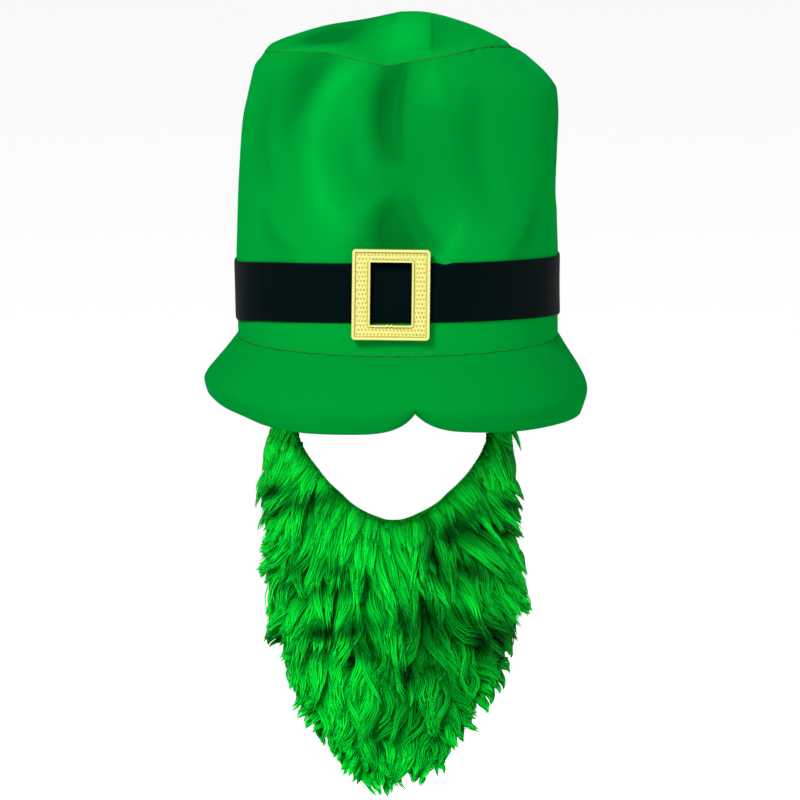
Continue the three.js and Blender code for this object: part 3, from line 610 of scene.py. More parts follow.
def waves(kind, angle, place):
    """Even unevenness from -1 to 1: a mean of sines with whole turns round the hat and random phases."""
    seed, turns, ups, number = WAVES[kind]
    rng = np.random.default_rng(seed)
    total = 0
    for _ in range(number):
        across = rng.integers(turns[0], turns[1] + 1) * rng.choice([-1, 1])
        phase, up = rng.uniform(0, 2 * np.pi), rng.uniform(*ups)
        total = total + np.sin(np.radians(angle) * across + 2 * np.pi * up * place + phase)
    return total / np.sqrt(number)


def seam_level(hat, angle):
    """Level of the brim seam, lower at the front."""
    return -hat.seam_tilt * np.cos(np.radians(angle))


def tip_level(hat, angle):
    """Level of the tip seam."""
    return hat.crown_height * turned(TIP_SEAM, "height", angle)


def crown_radius(hat, angle, height):
    """Polar radius of the superellipse with the table's half widths, less the folds."""
    sine, cosine = np.sin(np.radians(angle)), np.cos(np.radians(angle))
    left, right, back, front = (
        along(CROWN_SECTIONS, "at", name, height) for name in ("left", "right", "back", "front")
    )
    side, end = np.where(sine < 0, left, right), np.where(cosine < 0, back, front)
    wide = np.abs(sine / (hat.crown_width / 2 * side)) ** hat.squareness
    deep = np.abs(cosine / (hat.crown_depth / 2 * end)) ** hat.squareness
    return (wide + deep) ** (-1 / hat.squareness) - hat.fold_depth * fold_depth(angle, height)


def seam_radius(hat, angle, height):
    """How far out the wall lies at a seam, where it is turned in and gathered."""
    return crown_radius(hat, angle, height) - hat.seam_roll - 0.5 * hat.pucker


def crown_surface(hat):
    """The crown's outside as a function of angle and height."""
    def surface(angle, height):
        level = mix(seam_level(hat, angle), tip_level(hat, angle), height)
        return polar(angle, crown_radius(hat, angle, height), level)
    return surface


def offset(surface, angle, place, distance):
    """Points moved off a surface by a distance along its normal, the cross product of its small steps."""
    turn, step = 0.5, 0.004
    low, high = np.maximum(place - step, 0), np.minimum(place + step, 1)
    round_it = surface(angle + turn, place) - surface(angle - turn, place)
    normal = np.cross(round_it, surface(angle, high) - surface(angle, low))
    normal /= np.linalg.norm(normal, axis=-1, keepdims=True)
    return surface(angle, place) + normal * np.asarray(distance)[..., None]


def roll(distance, radius):
    """How far cloth has turned in at a distance from its seam: a quarter circle."""
    inside = np.clip(radius - distance, 0, radius)
    return radius - np.sqrt(radius**2 - inside**2)


def eased(number, ease, endpoint=True):
    """Shares from 0 to 1 that lie closer together near both ends: s less a part of a sine of s."""
    s = np.linspace(0, 1, number, endpoint=endpoint)
    return s - ease * np.sin(2 * np.pi * s) / (2 * np.pi)


def surface_uv(points, closed_rows, closed_columns):
    """Metres travelled over the mesh: the mean lengths of the steps along its rows and columns, added
    up."""
    wrapped = np.concatenate([points, points[:, :1]], axis=1) if closed_columns else points
    stacked = np.concatenate([points, points[:1]], axis=0) if closed_rows else points
    u = np.linalg.norm(np.diff(wrapped, axis=1), axis=-1).mean(axis=0)
    v = np.linalg.norm(np.diff(stacked, axis=0), axis=-1).mean(axis=1)
    u, v = np.concatenate([[0], np.cumsum(u)]), np.concatenate([[0], np.cumsum(v)])
    return np.stack(np.meshgrid(u, v), axis=-1)


def grid_faces(rows, columns, closed_rows, closed_columns):
    """Corners of the quads between neighbouring rows and columns of points, facing (next column) x (next
    row)."""
    row = np.arange(rows if closed_rows else rows - 1)[:, None, None]
    column = np.arange(columns if closed_columns else columns - 1)[None, :, None]
    return row + np.array([0, 0, 1, 1]), column + np.array([0, 1, 1, 0])


def new_mesh(name, points, faces, uv=None, values=None):
    """An object from arrays of points, of faces with the same number of corners, and of values at the
    points."""
    mesh = bpy.data.meshes.new(name)
    mesh.vertices.add(len(points))
    mesh.vertices.foreach_set("co", np.ascontiguousarray(points, dtype=np.float32).ravel())
    mesh.loops.add(faces.size)
    mesh.loops.foreach_set("vertex_index", faces.astype(np.int32).ravel())
    mesh.polygons.add(len(faces))
    mesh.polygons.foreach_set("loop_start", np.arange(0, faces.size, faces.shape[1], dtype=np.int32))
    mesh.polygons.foreach_set("use_smooth", np.ones(len(faces), dtype=bool))
    if uv is not None:
        mesh.uv_layers.new(name="Surface").uv.foreach_set("vector", uv.astype(np.float32).ravel())
    for title, numbers in (values or {}).items():
        layer = mesh.attributes.new(title, "FLOAT", "POINT")
        layer.data.foreach_set("value", numbers.astype(np.float32).ravel())
    mesh.update(calc_edges=True)
    obj = bpy.data.objects.new(name, mesh)
    bpy.context.collection.objects.link(obj)
    return obj


def grid_object(name, points, closed_rows=True, closed_columns=True, values=None):
    """An object from a grid of points, with a UV map in metres. Points that fall together, as at a pole,
    are made one."""
    rows, columns = points.shape[:2]
    row, column = np.broadcast_arrays(*grid_faces(rows, columns, closed_rows, closed_columns))
    uv = surface_uv(points, closed_rows, closed_columns)[row, column].reshape(-1, 2)
    faces = ((row % rows) * columns + column % columns).reshape(-1, 4)
    obj = new_mesh(name, points.reshape(-1, 3), faces, uv, values)
    shell = bmesh.new()
    shell.from_mesh(obj.data)
    bmesh.ops.remove_doubles(shell, verts=shell.verts, dist=1e-6)
    shell.to_mesh(obj.data)
    shell.free()
    return obj


def dress(obj, material, slot, *nodes):
    """Gives a piece its material, and lets it stand for CAD nodes on the one body. Its slot is not used."""
    obj.data.materials.append(material)
    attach(obj, BODY)
    if nodes:
        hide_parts(*nodes)
    return obj


def crown_wall(hat):
    """A closed shell: the outside from the brim seam up, turned in at both seams, and the inside back
    down."""
    around, up, down = CROWN_STEPS
    surface = crown_surface(hat)
    angle, height = round_the_hat(around), eased(up, ease=0.85)[:, None]
    from_seam = np.minimum(height, 1 - height) * hat.crown_height
    puckers = waves("crown puckers", angle, height) * np.exp(-from_seam / PUCKER_REACH)
    loose = np.sin(np.pi * np.clip((height - LOOSE_FROM) / (1 - LOOSE_FROM), 0, 1)) ** 0.7
    ripples = waves("crown ripples", angle, height) * loose
    wrinkles = wrinkle_depth(hat, angle, height)
    gathers = hat.pucker * (0.5 - 0.5 * puckers) * np.exp(-from_seam / SEAM_PULL)
    sunk = roll(from_seam, hat.seam_roll) + gathers + wrinkles * (1 - np.exp(-from_seam / SEAM_FLAT))
    outside = offset(surface, angle, height, -sunk - hat.ripple * (0.5 - 0.5 * ripples) * loose)
    # Painted shade in the wrinkles and slumps, and painted light on the ridges, carried by the hollow values
    hollow = wrinkles + FOLD_SHADE * hat.fold_depth * fold_depth(angle, height)
    lower = eased(down, ease=0.6)[::-1][:, None]
    thick = hat.cloth + hat.ripple + np.maximum(wrinkle_depth(hat, angle, lower), 0)
    inside = offset(surface, angle, lower, -thick)
    hollows = np.concatenate([hollow, np.zeros(inside.shape[:2])]) / hat.hollow
    return grid_object("crown_cloth", np.concatenate([outside, inside]), values={"hollow": hollows})


def dome_height(hat, part):
    """Height of the tip's plain dome over its seam, at a share of the way out."""
    return hat.tip_rise * (1 - part**hat.tip_fullness)


def tip_height(hat, x, y, part):
    """Height over the tip seam: the dome, less the hollows and the pleat, held flat near the seam."""
    wide, deep = x / (hat.crown_width / 2), y / (hat.crown_depth / 2)
    folds = 0
    for at_x, at_y, spread_x, spread_y, depth in zip(*TIP_FOLDS.values()):
        away = ((wide - at_x) / spread_x) ** 2 + ((deep - at_y) / spread_y) ** 2
        folds = folds + depth * np.exp(-away)
    past = wide - PLEAT_AT
    frontwards = np.sqrt(np.clip(PLEAT_BACK - deep, 0, 1))
    pleat = np.where(past > 0, PLEAT_SHARE * np.exp(-np.maximum(past, 0) / PLEAT_SPREAD) * frontwards, 0)
    held = np.minimum(1, (1 - part) / TIP_SEAM_HOLD)
    return np.maximum(0, dome_height(hat, part) - hat.tip_fold_depth * (folds + pleat) * held)


def crown_tip(hat):
    """A closed cap: its underside from the middle out, and its top back to the middle, whose rim turns
    down on a quarter ellipse to meet the wall at the seam."""
    around, under_steps, rim_steps, dome_steps = TIP_STEPS
    angle = round_the_hat(around)
    turn = np.linspace(0, np.pi / 2, rim_steps)[:, None]
    rim = seam_radius(hat, angle, 1.0)
    under = np.linspace(0, 1, under_steps)[:, None] * np.ones_like(angle)
    rolled = 1 - hat.tip_roll * (1 - np.cos(turn)) / rim
    dome = rolled[-1:] * np.linspace(1, 0, dome_steps)[1:, None]
    part = np.concatenate([under, rolled, dome])
    on_top = np.concatenate([0 * under[:, :1], np.sin(turn), 1 + 0 * dome[:, :1]])
    x, y, _ = np.moveaxis(polar(angle, rim * part, 0 * part), -1, 0)
    inwards = 1 - part
    puckers = hat.pucker * waves("tip puckers", angle, part) * np.exp(-inwards * PUCKER_FADE)
    soft = hat.ripple * waves("tip ripples", angle, part) * np.minimum(1, inwards * 6) * part
    risen = tip_height(hat, x, y, part)
    # Painted shade in the tip's hollows, less painted light over the whole tip
    hollows = TIP_SHADE * (dome_height(hat, part) - risen) / hat.hollow - TIP_LIGHT
    level = mix(hat.crown_height, tip_level(hat, angle), part) + 0.5 * hat.gap + on_top * hat.cloth
    level = level + risen + on_top * (0.6 * soft + 0.8 * puckers * np.minimum(1, inwards * 20))
    points = polar(angle, rim * part, level)
    return grid_object("crown_tip_cloth", points, closed_rows=False, values={"hollow": hollows})


def brim_surface(hat):
    """The brim's upper face: from the edge (place 0) to the seam (place 1) it swings in to the crown,
    shortened by the notch's cusp."""
    def surface(angle, place):
        down = 1 - place
        away = np.radians(np.abs(wrapped(angle - hat.notch_angle)))
        notch = hat.notch_depth * np.exp(-away * (hat.crown_depth / 2 + hat.brim_reach) / hat.notch_width)
        out = turned(BRIM_HANG, "reach", angle) * along(BRIM_PROFILE, "down", "out", down)
        cusp = notch * down**hat.notch_fade
        drop = hat.brim_drop * turned(BRIM_HANG, "drop", angle) * down - cusp
        radius = crown_radius(hat, angle, 0.0) + hat.brim_reach * out - hat.notch_pinch * cusp
        return polar(angle, radius, seam_level(hat, angle) - hat.gap - drop)
    return surface


def brim(hat):
    """A closed, padded shell: upper face from the edge to the seam, lower face back down, and a round
    edge. Its places lie closer together at the notch."""
    around, up, round_edge = BRIM_STEPS
    surface = brim_surface(hat)
    angle = (hat.notch_angle + 360 * eased(around, ease=0.72, endpoint=False))[None, :]
    place = eased(up, ease=0.6)[:, None]
    puff = hat.brim_puff * np.sin(np.pi * np.clip((1 - place) * 1.15, 0, 1)) ** 0.6
    thick = hat.brim_thickness + hat.brim_puff * bell(place / EDGE_ROLL)
    soft = hat.brim_ripple * waves("brim ripples", angle, place) * (1 - place) ** 0.7
    puckers = hat.pucker * waves("brim puckers", angle, place) * np.exp(-(1 - place) * PUCKER_FADE)
    seam = roll((1 - place) * hat.brim_drop, hat.seam_roll)
    upper = offset(surface, angle, place, puff * 0.6 + soft + puckers * 0.6 - seam)
    lower = offset(surface, angle, place, soft - thick)
    middle = (upper[:1] + lower[:1]) / 2
    half = (upper[:1] - lower[:1]) / 2
    downwards = surface(angle, np.array([[0.0]])) - surface(angle, np.array([[0.02]]))
    downwards /= np.linalg.norm(downwards, axis=-1, keepdims=True)
    size = np.linalg.norm(half, axis=-1, keepdims=True)
    turn = np.linspace(np.pi, 0, round_edge)[1:-1][:, None, None]
    edge = middle + half * np.cos(turn) + downwards * size * np.sin(turn)
    points = np.concatenate([upper, lower[::-1], edge])
    # Painted shade: the brim gets one even darkening
    return grid_object("brim_cloth", points, values={"hollow": np.full(points.shape[:2], hat.brim_shade)})


def band_heights(hat, band, angle):
    """The ribbon's two edges at an angle, as shares of the crown's height there."""
    low = band.lift * turned(BAND_EDGE, "lift", angle)
    seam, tip = seam_level(hat, angle), tip_level(hat, angle)
    return (low - seam) / (tip - seam), (low + band.height - seam) / (tip - seam)


def ribbon(hat, band):
    """A closed shell just off the crown: its face from the lower edge up, and its back down against the
    cloth."""
    around, across = RIBBON_STEPS
    surface = crown_surface(hat)
    angle = round_the_hat(around)
    low, high = band_heights(hat, band, angle)
    up = eased(across, ease=0.8)[:, None]
    from_middle = np.abs(2 * up - 1)
    beside = 1 - np.exp(-(wrapped(angle) / BUCKLE_HOLD) ** 4)
    lifted = band.wave * (0.5 + 0.5 * waves("ribbon edges", angle, up)) * from_middle**2 * beside
    bevel = 0.5 * band.thickness * from_middle**24
    face = offset(surface, angle, mix(low, high, up), hat.gap + band.thickness + lifted - bevel)
    back = offset(surface, angle, mix(low, high, up[::-1]), hat.gap + lifted[::-1])
    return grid_object("ribbon", np.concatenate([face, back]))


def seam_cord(hat, band, name, height, level):
    """A fine cord of folded cloth in a seam round the crown: a ring with a round section that swells a
    little at each stitch."""
    around, sides = CORD_STEPS
    angle = round_the_hat(around)
    stitches = round(np.pi * (hat.crown_width + hat.crown_depth) / 2 / band.stitch_length)
    cord = band.cord * (1 + 0.15 * np.cos(np.radians(angle) * stitches))
    turn = np.linspace(0, 2 * np.pi, sides, endpoint=False)[:, None]
    out = seam_radius(hat, angle, height) + cord * np.cos(turn)
    return grid_object(name, polar(angle, out, level(hat, angle) + cord * np.sin(turn))[::-1])


def rounded_loop(width, height, corner, lift, steps):
    """Points round a rectangle with round corners, anticlockwise as seen from the front: four arcs joined
    by straight runs of even steps."""
    side, bend = steps
    corners = ((270, 1, -1), (0, 1, 1), (90, -1, 1), (180, -1, -1))
    arcs = []
    for start, sign_x, sign_z in corners:
        bearing = np.radians(start + np.linspace(0, 90, bend))
        x = sign_x * (width / 2 - corner) + corner * np.cos(bearing)
        z = sign_z * (height / 2 - corner) + corner * np.sin(bearing) + lift
        arcs.append(np.stack([x, z], axis=-1))
    part = np.linspace(0, 1, side, endpoint=False)[1:, None]
    runs = [mix(arcs[i][-1], arcs[(i + 1) % 4][0], part) for i in range(4)]
    return np.concatenate([piece for pair in zip(arcs, runs) for piece in pair])


def dimples(buckle, x, z):
    """Depth of the panel's pattern from 0 to 1: slanting dashes in rows, each row half a step along."""
    row = np.round(z / buckle.dimple_up)
    rise = z - row * buckle.dimple_up
    shifted = x + rise * buckle.dimple_slant + 0.5 * buckle.dimple_across * np.mod(row, 2)
    aside = shifted - np.round(shifted / buckle.dimple_across) * buckle.dimple_across
    wide, tall = buckle.dimple_wide * buckle.dimple_across, buckle.dimple_tall * buckle.dimple_up
    return np.exp(-((aside / wide) ** 2) - (rise / tall) ** 4)


def buckle_section(buckle):
    """The frame's section, from the outer back edge over the two rims and the panel between them to the
    opening, and back along the flat rear face. Each row says how far it lies in from the outer outline
    and out from the opening, its share of the way between the two, and its height over the rear face."""
    panel = buckle.thickness - buckle.rim_step
    turn = np.linspace(0, np.pi, RIM_STEPS)
    rims = list(zip(np.cos(turn), panel + buckle.rim_step * np.sin(turn) ** 0.7))
    outer = [(buckle.outer_rim * (1 - cosine) / 2, 0.0, 0.0, rise) for cosine, rise in rims]
    inner = [(0.0, buckle.inner_rim * (1 + cosine) / 2, 1.0, rise) for cosine, rise in rims]
    parts = np.linspace(0, 1, PANEL_STEPS)[1:-1]
    flat = [(buckle.outer_rim, buckle.inner_rim, part, panel) for part in parts]
    rear = [(0.0, 0.0, part, 0.0) for part in (1.0, 0.66, 0.33)]
    return [(0.0, 0.0, 0.0, 0.0)] + outer + flat + inner + rear


def buckle_row(buckle, inset, outset, part, rise):
    """The points of one row of the section, once round the frame's plane, and how deep each lies in the
    grooves beside the rims and in the dashes of the panel."""
    corner = max(buckle.corner - inset, buckle.least_corner)
    around = rounded_loop(buckle.width - 2 * inset, buckle.height - 2 * inset, corner, 0, BUCKLE_STEPS)
    wide, tall = buckle.opening_width + 2 * outset, buckle.opening_height + 2 * outset
    corner = outset + buckle.opening_corner
    within = rounded_loop(wide, tall, corner, buckle.opening_raise, BUCKLE_STEPS)
    nubs = sum(bell((within[:, 0] - at * buckle.nub_across) / buckle.nub_width) for at in (-0.75, 0.25))
    within[:, 1] += buckle.nub * nubs * (within[:, 1] < 0)
    place = mix(around, within, part)
    if not (0 < part < 1 and rise > 0):
        return place, np.zeros(len(place))
    edge = np.linalg.norm(place - around, axis=-1), np.linalg.norm(place - within, axis=-1)
    near = np.minimum(*edge) / buckle.groove
    groove = np.exp(-((near - 0.2) ** 2) * 2.0) * 0.8
    marks = dimples(buckle, place[:, 0], place[:, 1]) * np.clip(near - 0.8, 0, 1)
    return place, np.maximum(groove, marks)


def buckle_frame(buckle):
    """A closed ring: the rows of its section, turned by its lean and set on the front of the CAD buckle's
    box."""
    section = buckle_section(buckle)
    rows = [buckle_row(buckle, *row) for row in section]
    place, hollow = np.array([row[0] for row in rows]), np.array([row[1] for row in rows])
    depth = np.array([rise for *_, rise in section])[:, None] - buckle.dimple_depth * hollow
    x = place[..., 0] * np.cos(buckle.lean) + place[..., 1] * np.sin(buckle.lean)
    z = place[..., 1] * np.cos(buckle.lean) - place[..., 0] * np.sin(buckle.lean)
    low, high = (np.array(corner) for corner in BUCKLE_BOX)
    middle = (low + high) / 2
    points = np.stack([middle[0] + x, high[1] - depth, middle[2] + z], axis=-1)
    # The hollow values also paint shade on the gold
    return grid_object("buckle_frame", points, values={"hollow": hollow})


def beard_point(hat, beard, x, level, forward):
    """Points on the beard's curve, a superellipse inside the crown's: moved forward along its normal, and
    swung back towards the lower end."""
    inset = max(hat.cloth, hat.brim_thickness) + hat.gap + beard.backing
    width, depth = hat.crown_width / 2 - inset, hat.crown_depth / 2 - inset
    power = hat.squareness
    part = np.clip(np.abs(x) / width, 0, beard.wrap)
    front = depth * (1 - part**power) ** (1 / power)
    hang = np.clip((beard.gap_level - level) / beard.length, 0, 1)
    across, ahead = part ** (power - 1) / width, (front / depth) ** (power - 1) / depth
    size = np.hypot(across, ahead)
    y = beard.tuck * hang**2 - front - forward * ahead / size
    return np.stack(np.broadcast_arrays(x + np.sign(x) * forward * across / size, y, level), axis=-1)


def pile_share(angle, up):
    """Depth of the pile, as a share of that under the chin, at an angle round the face gap and a share of
    the way up a strap."""
    return mix(1, SIDE_PILE, np.abs(angle) / 90) * (1 - up) ** 3


def beard_edges(beard, turn):
    """The fur cloth's two edges in the front view and its share of the pile, at a turn in degrees from
    straight down: spokes round the face gap, then level bars up the straps."""
    angle = np.clip(turn, -90, 90)
    up = np.clip((np.abs(turn) - 90) / STRAP_TURN, 0, 1)
    down = np.stack([np.sin(np.radians(angle)), -np.cos(np.radians(angle))], axis=-1)
    edges = []
    for column, size in (("inner", beard.gap_radius), ("outer", beard.length)):
        reach = size * along(BEARD_BARS, "angle", column, angle) * along(STRAP_BARS, "up", column, up)
        edge = np.array([beard.gap_shift, beard.gap_level]) + down * reach[..., None]
        edge[..., 1] = np.where(up > 0, mix(beard.gap_level, beard.strap_top, up), edge[..., 1])
        edges.append(edge)
    return edges[0], edges[1], pile_share(angle, up)


def cloth_grid(steps):
    """The fur cloth's grid: its turns from strap to strap in degrees, and shares of the way across it."""
    columns, rows = steps
    turn = np.linspace(-90 - STRAP_TURN, 90 + STRAP_TURN, columns)[None, :]
    return turn, np.linspace(0, 1, rows)[:, None]


def beard_slab(hat, beard, name, reach, turn, across, front, back):
    """A closed slab of fur cloth: its section goes across the front face and back across the rear one,
    and its two ends close on a point."""
    inner_edge, outer_edge, _ = beard_edges(beard, turn)
    flat = mix(inner_edge, outer_edge, across[..., None] * reach)
    faces = [beard_point(hat, beard, flat[..., 0], flat[..., 1], forward) for forward in (front, back)]
    ring = np.concatenate([faces[0][::-1], faces[1]])
    ends = [np.broadcast_to(ring[:, [i]].mean(axis=0, keepdims=True), ring[:, [i]].shape) for i in (0, -1)]
    return grid_object(name, np.concatenate([ends[0], ring, ends[1]], axis=1), closed_columns=False)


def beard_backing(hat, beard):
    """The knitted cloth: a slab of even thickness."""
    grid = cloth_grid(BACKING_STEPS)
    return beard_slab(hat, beard, "beard_backing", BACKING_REACH, *grid, beard.backing, 0.0)


def beard_underfur(hat, beard):
    """The short dense hair at the roots: a slab that follows the pile at a share of its depth, with
    hummocks."""
    turn, across = cloth_grid(UNDERFUR_STEPS)
    _, _, pile = beard_edges(beard, turn)
    depth = beard.pile * pile * along(PILE_PROFILE, "across", "depth", across)
    lumps = 1 + 0.22 * waves("underfur lumps", turn * 3, across)
    front = beard.backing + UNDERFUR_LAP + UNDERFUR_SHARE * depth * lumps
    back = beard.backing - UNDERFUR_LAP
    return beard_slab(hat, beard, "beard_underfur", 1.0, turn, across, front, back)


def gap_distances(beard, x, level):
    """How far a place in the front view lies out from the face gap's edge and in from the longest
    tips."""
    aside, below = x - beard.gap_shift, beard.gap_level - level
    angle = np.degrees(np.arctan2(aside, np.maximum(below, 0)))
    up = np.clip(-below / (beard.strap_top - beard.gap_level), 0, 1)
    reach = np.where(below > 0, np.hypot(aside, below), np.abs(aside))
    inner = along(BEARD_BARS, "angle", "inner", angle) * along(STRAP_BARS, "up", "inner", up)
    tips = along(BEARD_BARS, "angle", "tips", angle) * along(STRAP_BARS, "up", "outer", up)
    return reach - beard.gap_radius * inner, beard.length * tips - reach


def beard_place(beard, x, level):
    """A place in the front view as the fur's tables give it, with a last axis for their rows."""
    across = (x - beard.gap_shift) / beard.length
    down = (beard.gap_level - level) / beard.length
    return across[..., None], down[..., None]


def flow(beard, x, level):
    """Heading and curl of the fur at a place: a mean of the table's rows weighted by a bell of their
    distance."""
    across, down = beard_place(beard, x, level)
    away = np.hypot(across - FUR_FLOW["across"], down - FUR_FLOW["down"])
    weight = bell(away / FLOW_SPREAD) + 1e-9
    weight /= weight.sum(axis=-1, keepdims=True)
    return (weight * FUR_FLOW["heading"]).sum(axis=-1), (weight * FUR_FLOW["curl"]).sum(axis=-1)


def step_below(beard, x, level):
    """For each step in the fur, how far a place lies below it in metres, and how much of the step it
    belongs to."""
    across, down = beard_place(beard, x, level)
    run = FUR_STEPS["across_b"] - FUR_STEPS["across_a"]
    part = (across - FUR_STEPS["across_a"]) / run
    line = mix(FUR_STEPS["down_a"], FUR_STEPS["down_b"], part)
    within = np.clip(np.minimum(part, 1 - part) * 5 + 1, 0, 1) * FUR_STEPS["strength"]
    return (down - line) * beard.length, within


def from_step(below, zone):
    """A bell of the distance below a step, from a zone's middle and over its spread."""
    middle, spread = zone
    return bell((below - middle) / spread)


def fur_shade(beard, x, level):
    """How deep a place lies in the fur's hollows, from 0 to 1, less how high on its swells: the strongest
    bells."""
    across, down = beard_place(beard, x, level)
    across, down = across - FUR_SHADES["across"], down - FUR_SHADES["down"]
    wide, tall = across / FUR_SHADES["wide"], (down - FUR_SHADES["lean"] * across) / FUR_SHADES["tall"]
    bells = FUR_SHADES["strength"] * np.exp(-(wide**2) - tall**2)
    return np.maximum(bells.max(axis=-1), 0) + np.minimum(bells.min(axis=-1), 0)


def pile_height(beard, x, level):
    """Depth of the fur over its backing at a place: thin at the gap's edge, full a little way out, and
    less beside the face."""
    from_gap, _ = gap_distances(beard, x, level)
    angle = np.degrees(np.arctan2(x - beard.gap_shift, np.maximum(beard.gap_level - level, 1e-6)))
    up = np.clip((level - beard.gap_level) / (beard.strap_top - beard.gap_level), 0, 1)
    out = 1 - np.exp(-np.maximum(from_gap, 0) / PILE_RUN)
    return beard.pile * pile_share(angle, up) * mix(PILE_EDGE, 1, out)


def patches(kind, x, level):
    """Smooth random values, about -1 to 1, over the front view: a mean of sines in random directions."""
    seed, size = PATCHES[kind]
    rng = np.random.default_rng(seed)
    total = 0
    for _ in range(9):
        way, phase = rng.uniform(0, 2 * np.pi, 2)
        pitch = 2 * np.pi / (size * rng.uniform(0.7, 1.6))
        total = total + np.sin(pitch * (x * np.cos(way) + level * np.sin(way)) + phase)
    return total / 2.2


def seen_inside(hat, beard, x, level):
    """How far inside the tips' outline a hair at the top of the pile shows, seen from the front."""
    shown = beard_point(hat, beard, x, level, beard.backing + pile_height(beard, x, level))
    return gap_distances(beard, shown[..., 0], level)[1]


def lock_roots(hat, beard, spacing, rng):
    """Roots from the top down: a grid with every other row half a step along, each place shaken, inside
    the beard."""
    reach = beard.length * 0.5
    columns = np.arange(-reach, reach, spacing)
    levels = np.arange(beard.gap_level - beard.length, beard.strap_top, spacing * 0.87)
    x, level = np.meshgrid(columns, levels)
    x = x + np.where(np.arange(len(levels)) % 2, spacing / 2, 0)[:, None]
    x = (x + rng.uniform(-0.4, 0.4, x.shape) * spacing).ravel()
    level = (level + rng.uniform(-0.4, 0.4, level.shape) * spacing).ravel()
    from_gap, _ = gap_distances(beard, x, level)
    keep = (from_gap > 0.0004) & (seen_inside(hat, beard, x, level) > TIP_INSIDE)
    keep = keep & (level < beard.gap_level + beard.fur_rise)
    order = np.argsort(-level[keep])
    return x[keep][order], level[keep][order]


def edge_roots(beard, spacing, rng):
    """Roots of the short hair right along the face gap's edge."""
    turn = np.arange(-90 - STRAP_TURN, 90 + STRAP_TURN, np.degrees(spacing / beard.gap_radius))
    turn = turn + rng.uniform(-0.5, 0.5, len(turn))
    inner, outer, _ = beard_edges(beard, turn)
    edge = mix(inner, outer, rng.uniform(0.002, 0.03, len(turn))[:, None])
    return edge[:, 0], edge[:, 1]


def fringe_roots(hat, beard, spacing, rng):
    """Roots of locks that fill the beard's outline, in the outer part of its cloth."""
    turn = np.arange(-88, 88, np.degrees(spacing / beard.length) * 1.5)
    turn = turn + rng.uniform(-0.5, 0.5, len(turn))
    inner, outer, _ = beard_edges(beard, turn)
    place = mix(inner, outer, rng.uniform(0.80, 1.0, len(turn))[:, None])
    keep = seen_inside(hat, beard, place[:, 0], place[:, 1]) > TIP_INSIDE
    return place[keep, 0], place[keep, 1]


def all_roots(hat, beard, fur, rng):
    """Roots of the locks, of those that fill the outline and of the short hair along the gap's edge, from
    the top down, and which of them are that short hair."""
    kinds = (
        lock_roots(hat, beard, fur.spacing, rng),
        fringe_roots(hat, beard, fur.spacing * FINE_SPACING, rng),
        edge_roots(beard, fur.spacing * FINE_SPACING, rng),
    )
    x, level = (np.concatenate([kind[axis] for kind in kinds]) for axis in (0, 1))
    edge = np.arange(len(x)) >= len(x) - len(kinds[-1][0])
    order = np.argsort(-level)
    return x[order], level[order], edge[order]


def lock_lines(beard, fur, rng, x, level, t):
    """Middle lines that locks would take by themselves: the heading turns steadily and swings in a wave,
    and its running sum gives the places."""
    number = len(x)
    heading, curl = flow(beard, x, level)
    heading = heading + curl * 0.5 * patches("heading", x, level) + rng.normal(0, fur.stray, number)
    bend = curl * (0.9 * patches("bend", x, level) + rng.normal(0, 0.45, number))
    swing = curl * rng.normal(1.4, 0.35, number)
    phase = 3 * patches("phase", x, level) + rng.normal(0, 0.45, number)
    wave = np.sin(2 * np.pi * CURL_TURNS * t + phase[:, None])
    angles = np.radians(heading[:, None] + bend[:, None] * (t - 0.3) * 1.6 + swing[:, None] * wave)
    step = np.diff(t, prepend=0)
    aside, down = (np.cumsum(way(angles) * step, axis=1) for way in (np.sin, np.cos))
    return np.stack([aside, -down], axis=-1), angles


def gathered(hat, beard, fur, rng, x, level, t, edge):
    """Lines of the locks, drawn together in tufts: each leans over to the line of the nearest tuft
    towards its tip. Also each lock's heading, its length, its tuft and how near it lies to the tuft's
    middle."""
    tuft_x, tuft_level = lock_roots(hat, beard, fur.tuft, rng)
    tuft_line, tuft_angles = lock_lines(beard, fur, rng, tuft_x, tuft_level, t)
    nearest = np.hypot(x[:, None] - tuft_x, (level[:, None] - tuft_level) * 0.8).argmin(axis=1)
    own_line, own_angles = lock_lines(beard, fur, rng, x, level, t)
    tuft_size = rng.uniform(0.85, 1.2, len(tuft_x))[nearest]
    size = fur.lock_length * tuft_size * rng.uniform(0.72, 1.1, len(x)) * np.where(edge, EDGE_LENGTH, 1)
    lead = np.stack([tuft_x, tuft_level], axis=-1)[nearest] - np.stack([x, level], axis=-1)
    pull = (fur.gather * np.where(edge, 0.3, 1))[:, None, None] * (t**1.4)[None, :, None]
    line = mix(own_line, tuft_line[nearest], TUFT_SHARE) * size[:, None, None] + lead[:, None] * pull
    angles = mix(own_angles, tuft_angles[nearest], TUFT_SHARE)
    aside = (lead * np.stack([np.cos(angles[:, 0]), np.sin(angles[:, 0])], axis=-1)).sum(axis=-1)
    rounded = 1 - np.minimum((2 * aside / fur.tuft) ** 2, 1)
    return line, angles, size, (nearest, len(tuft_x)), rounded


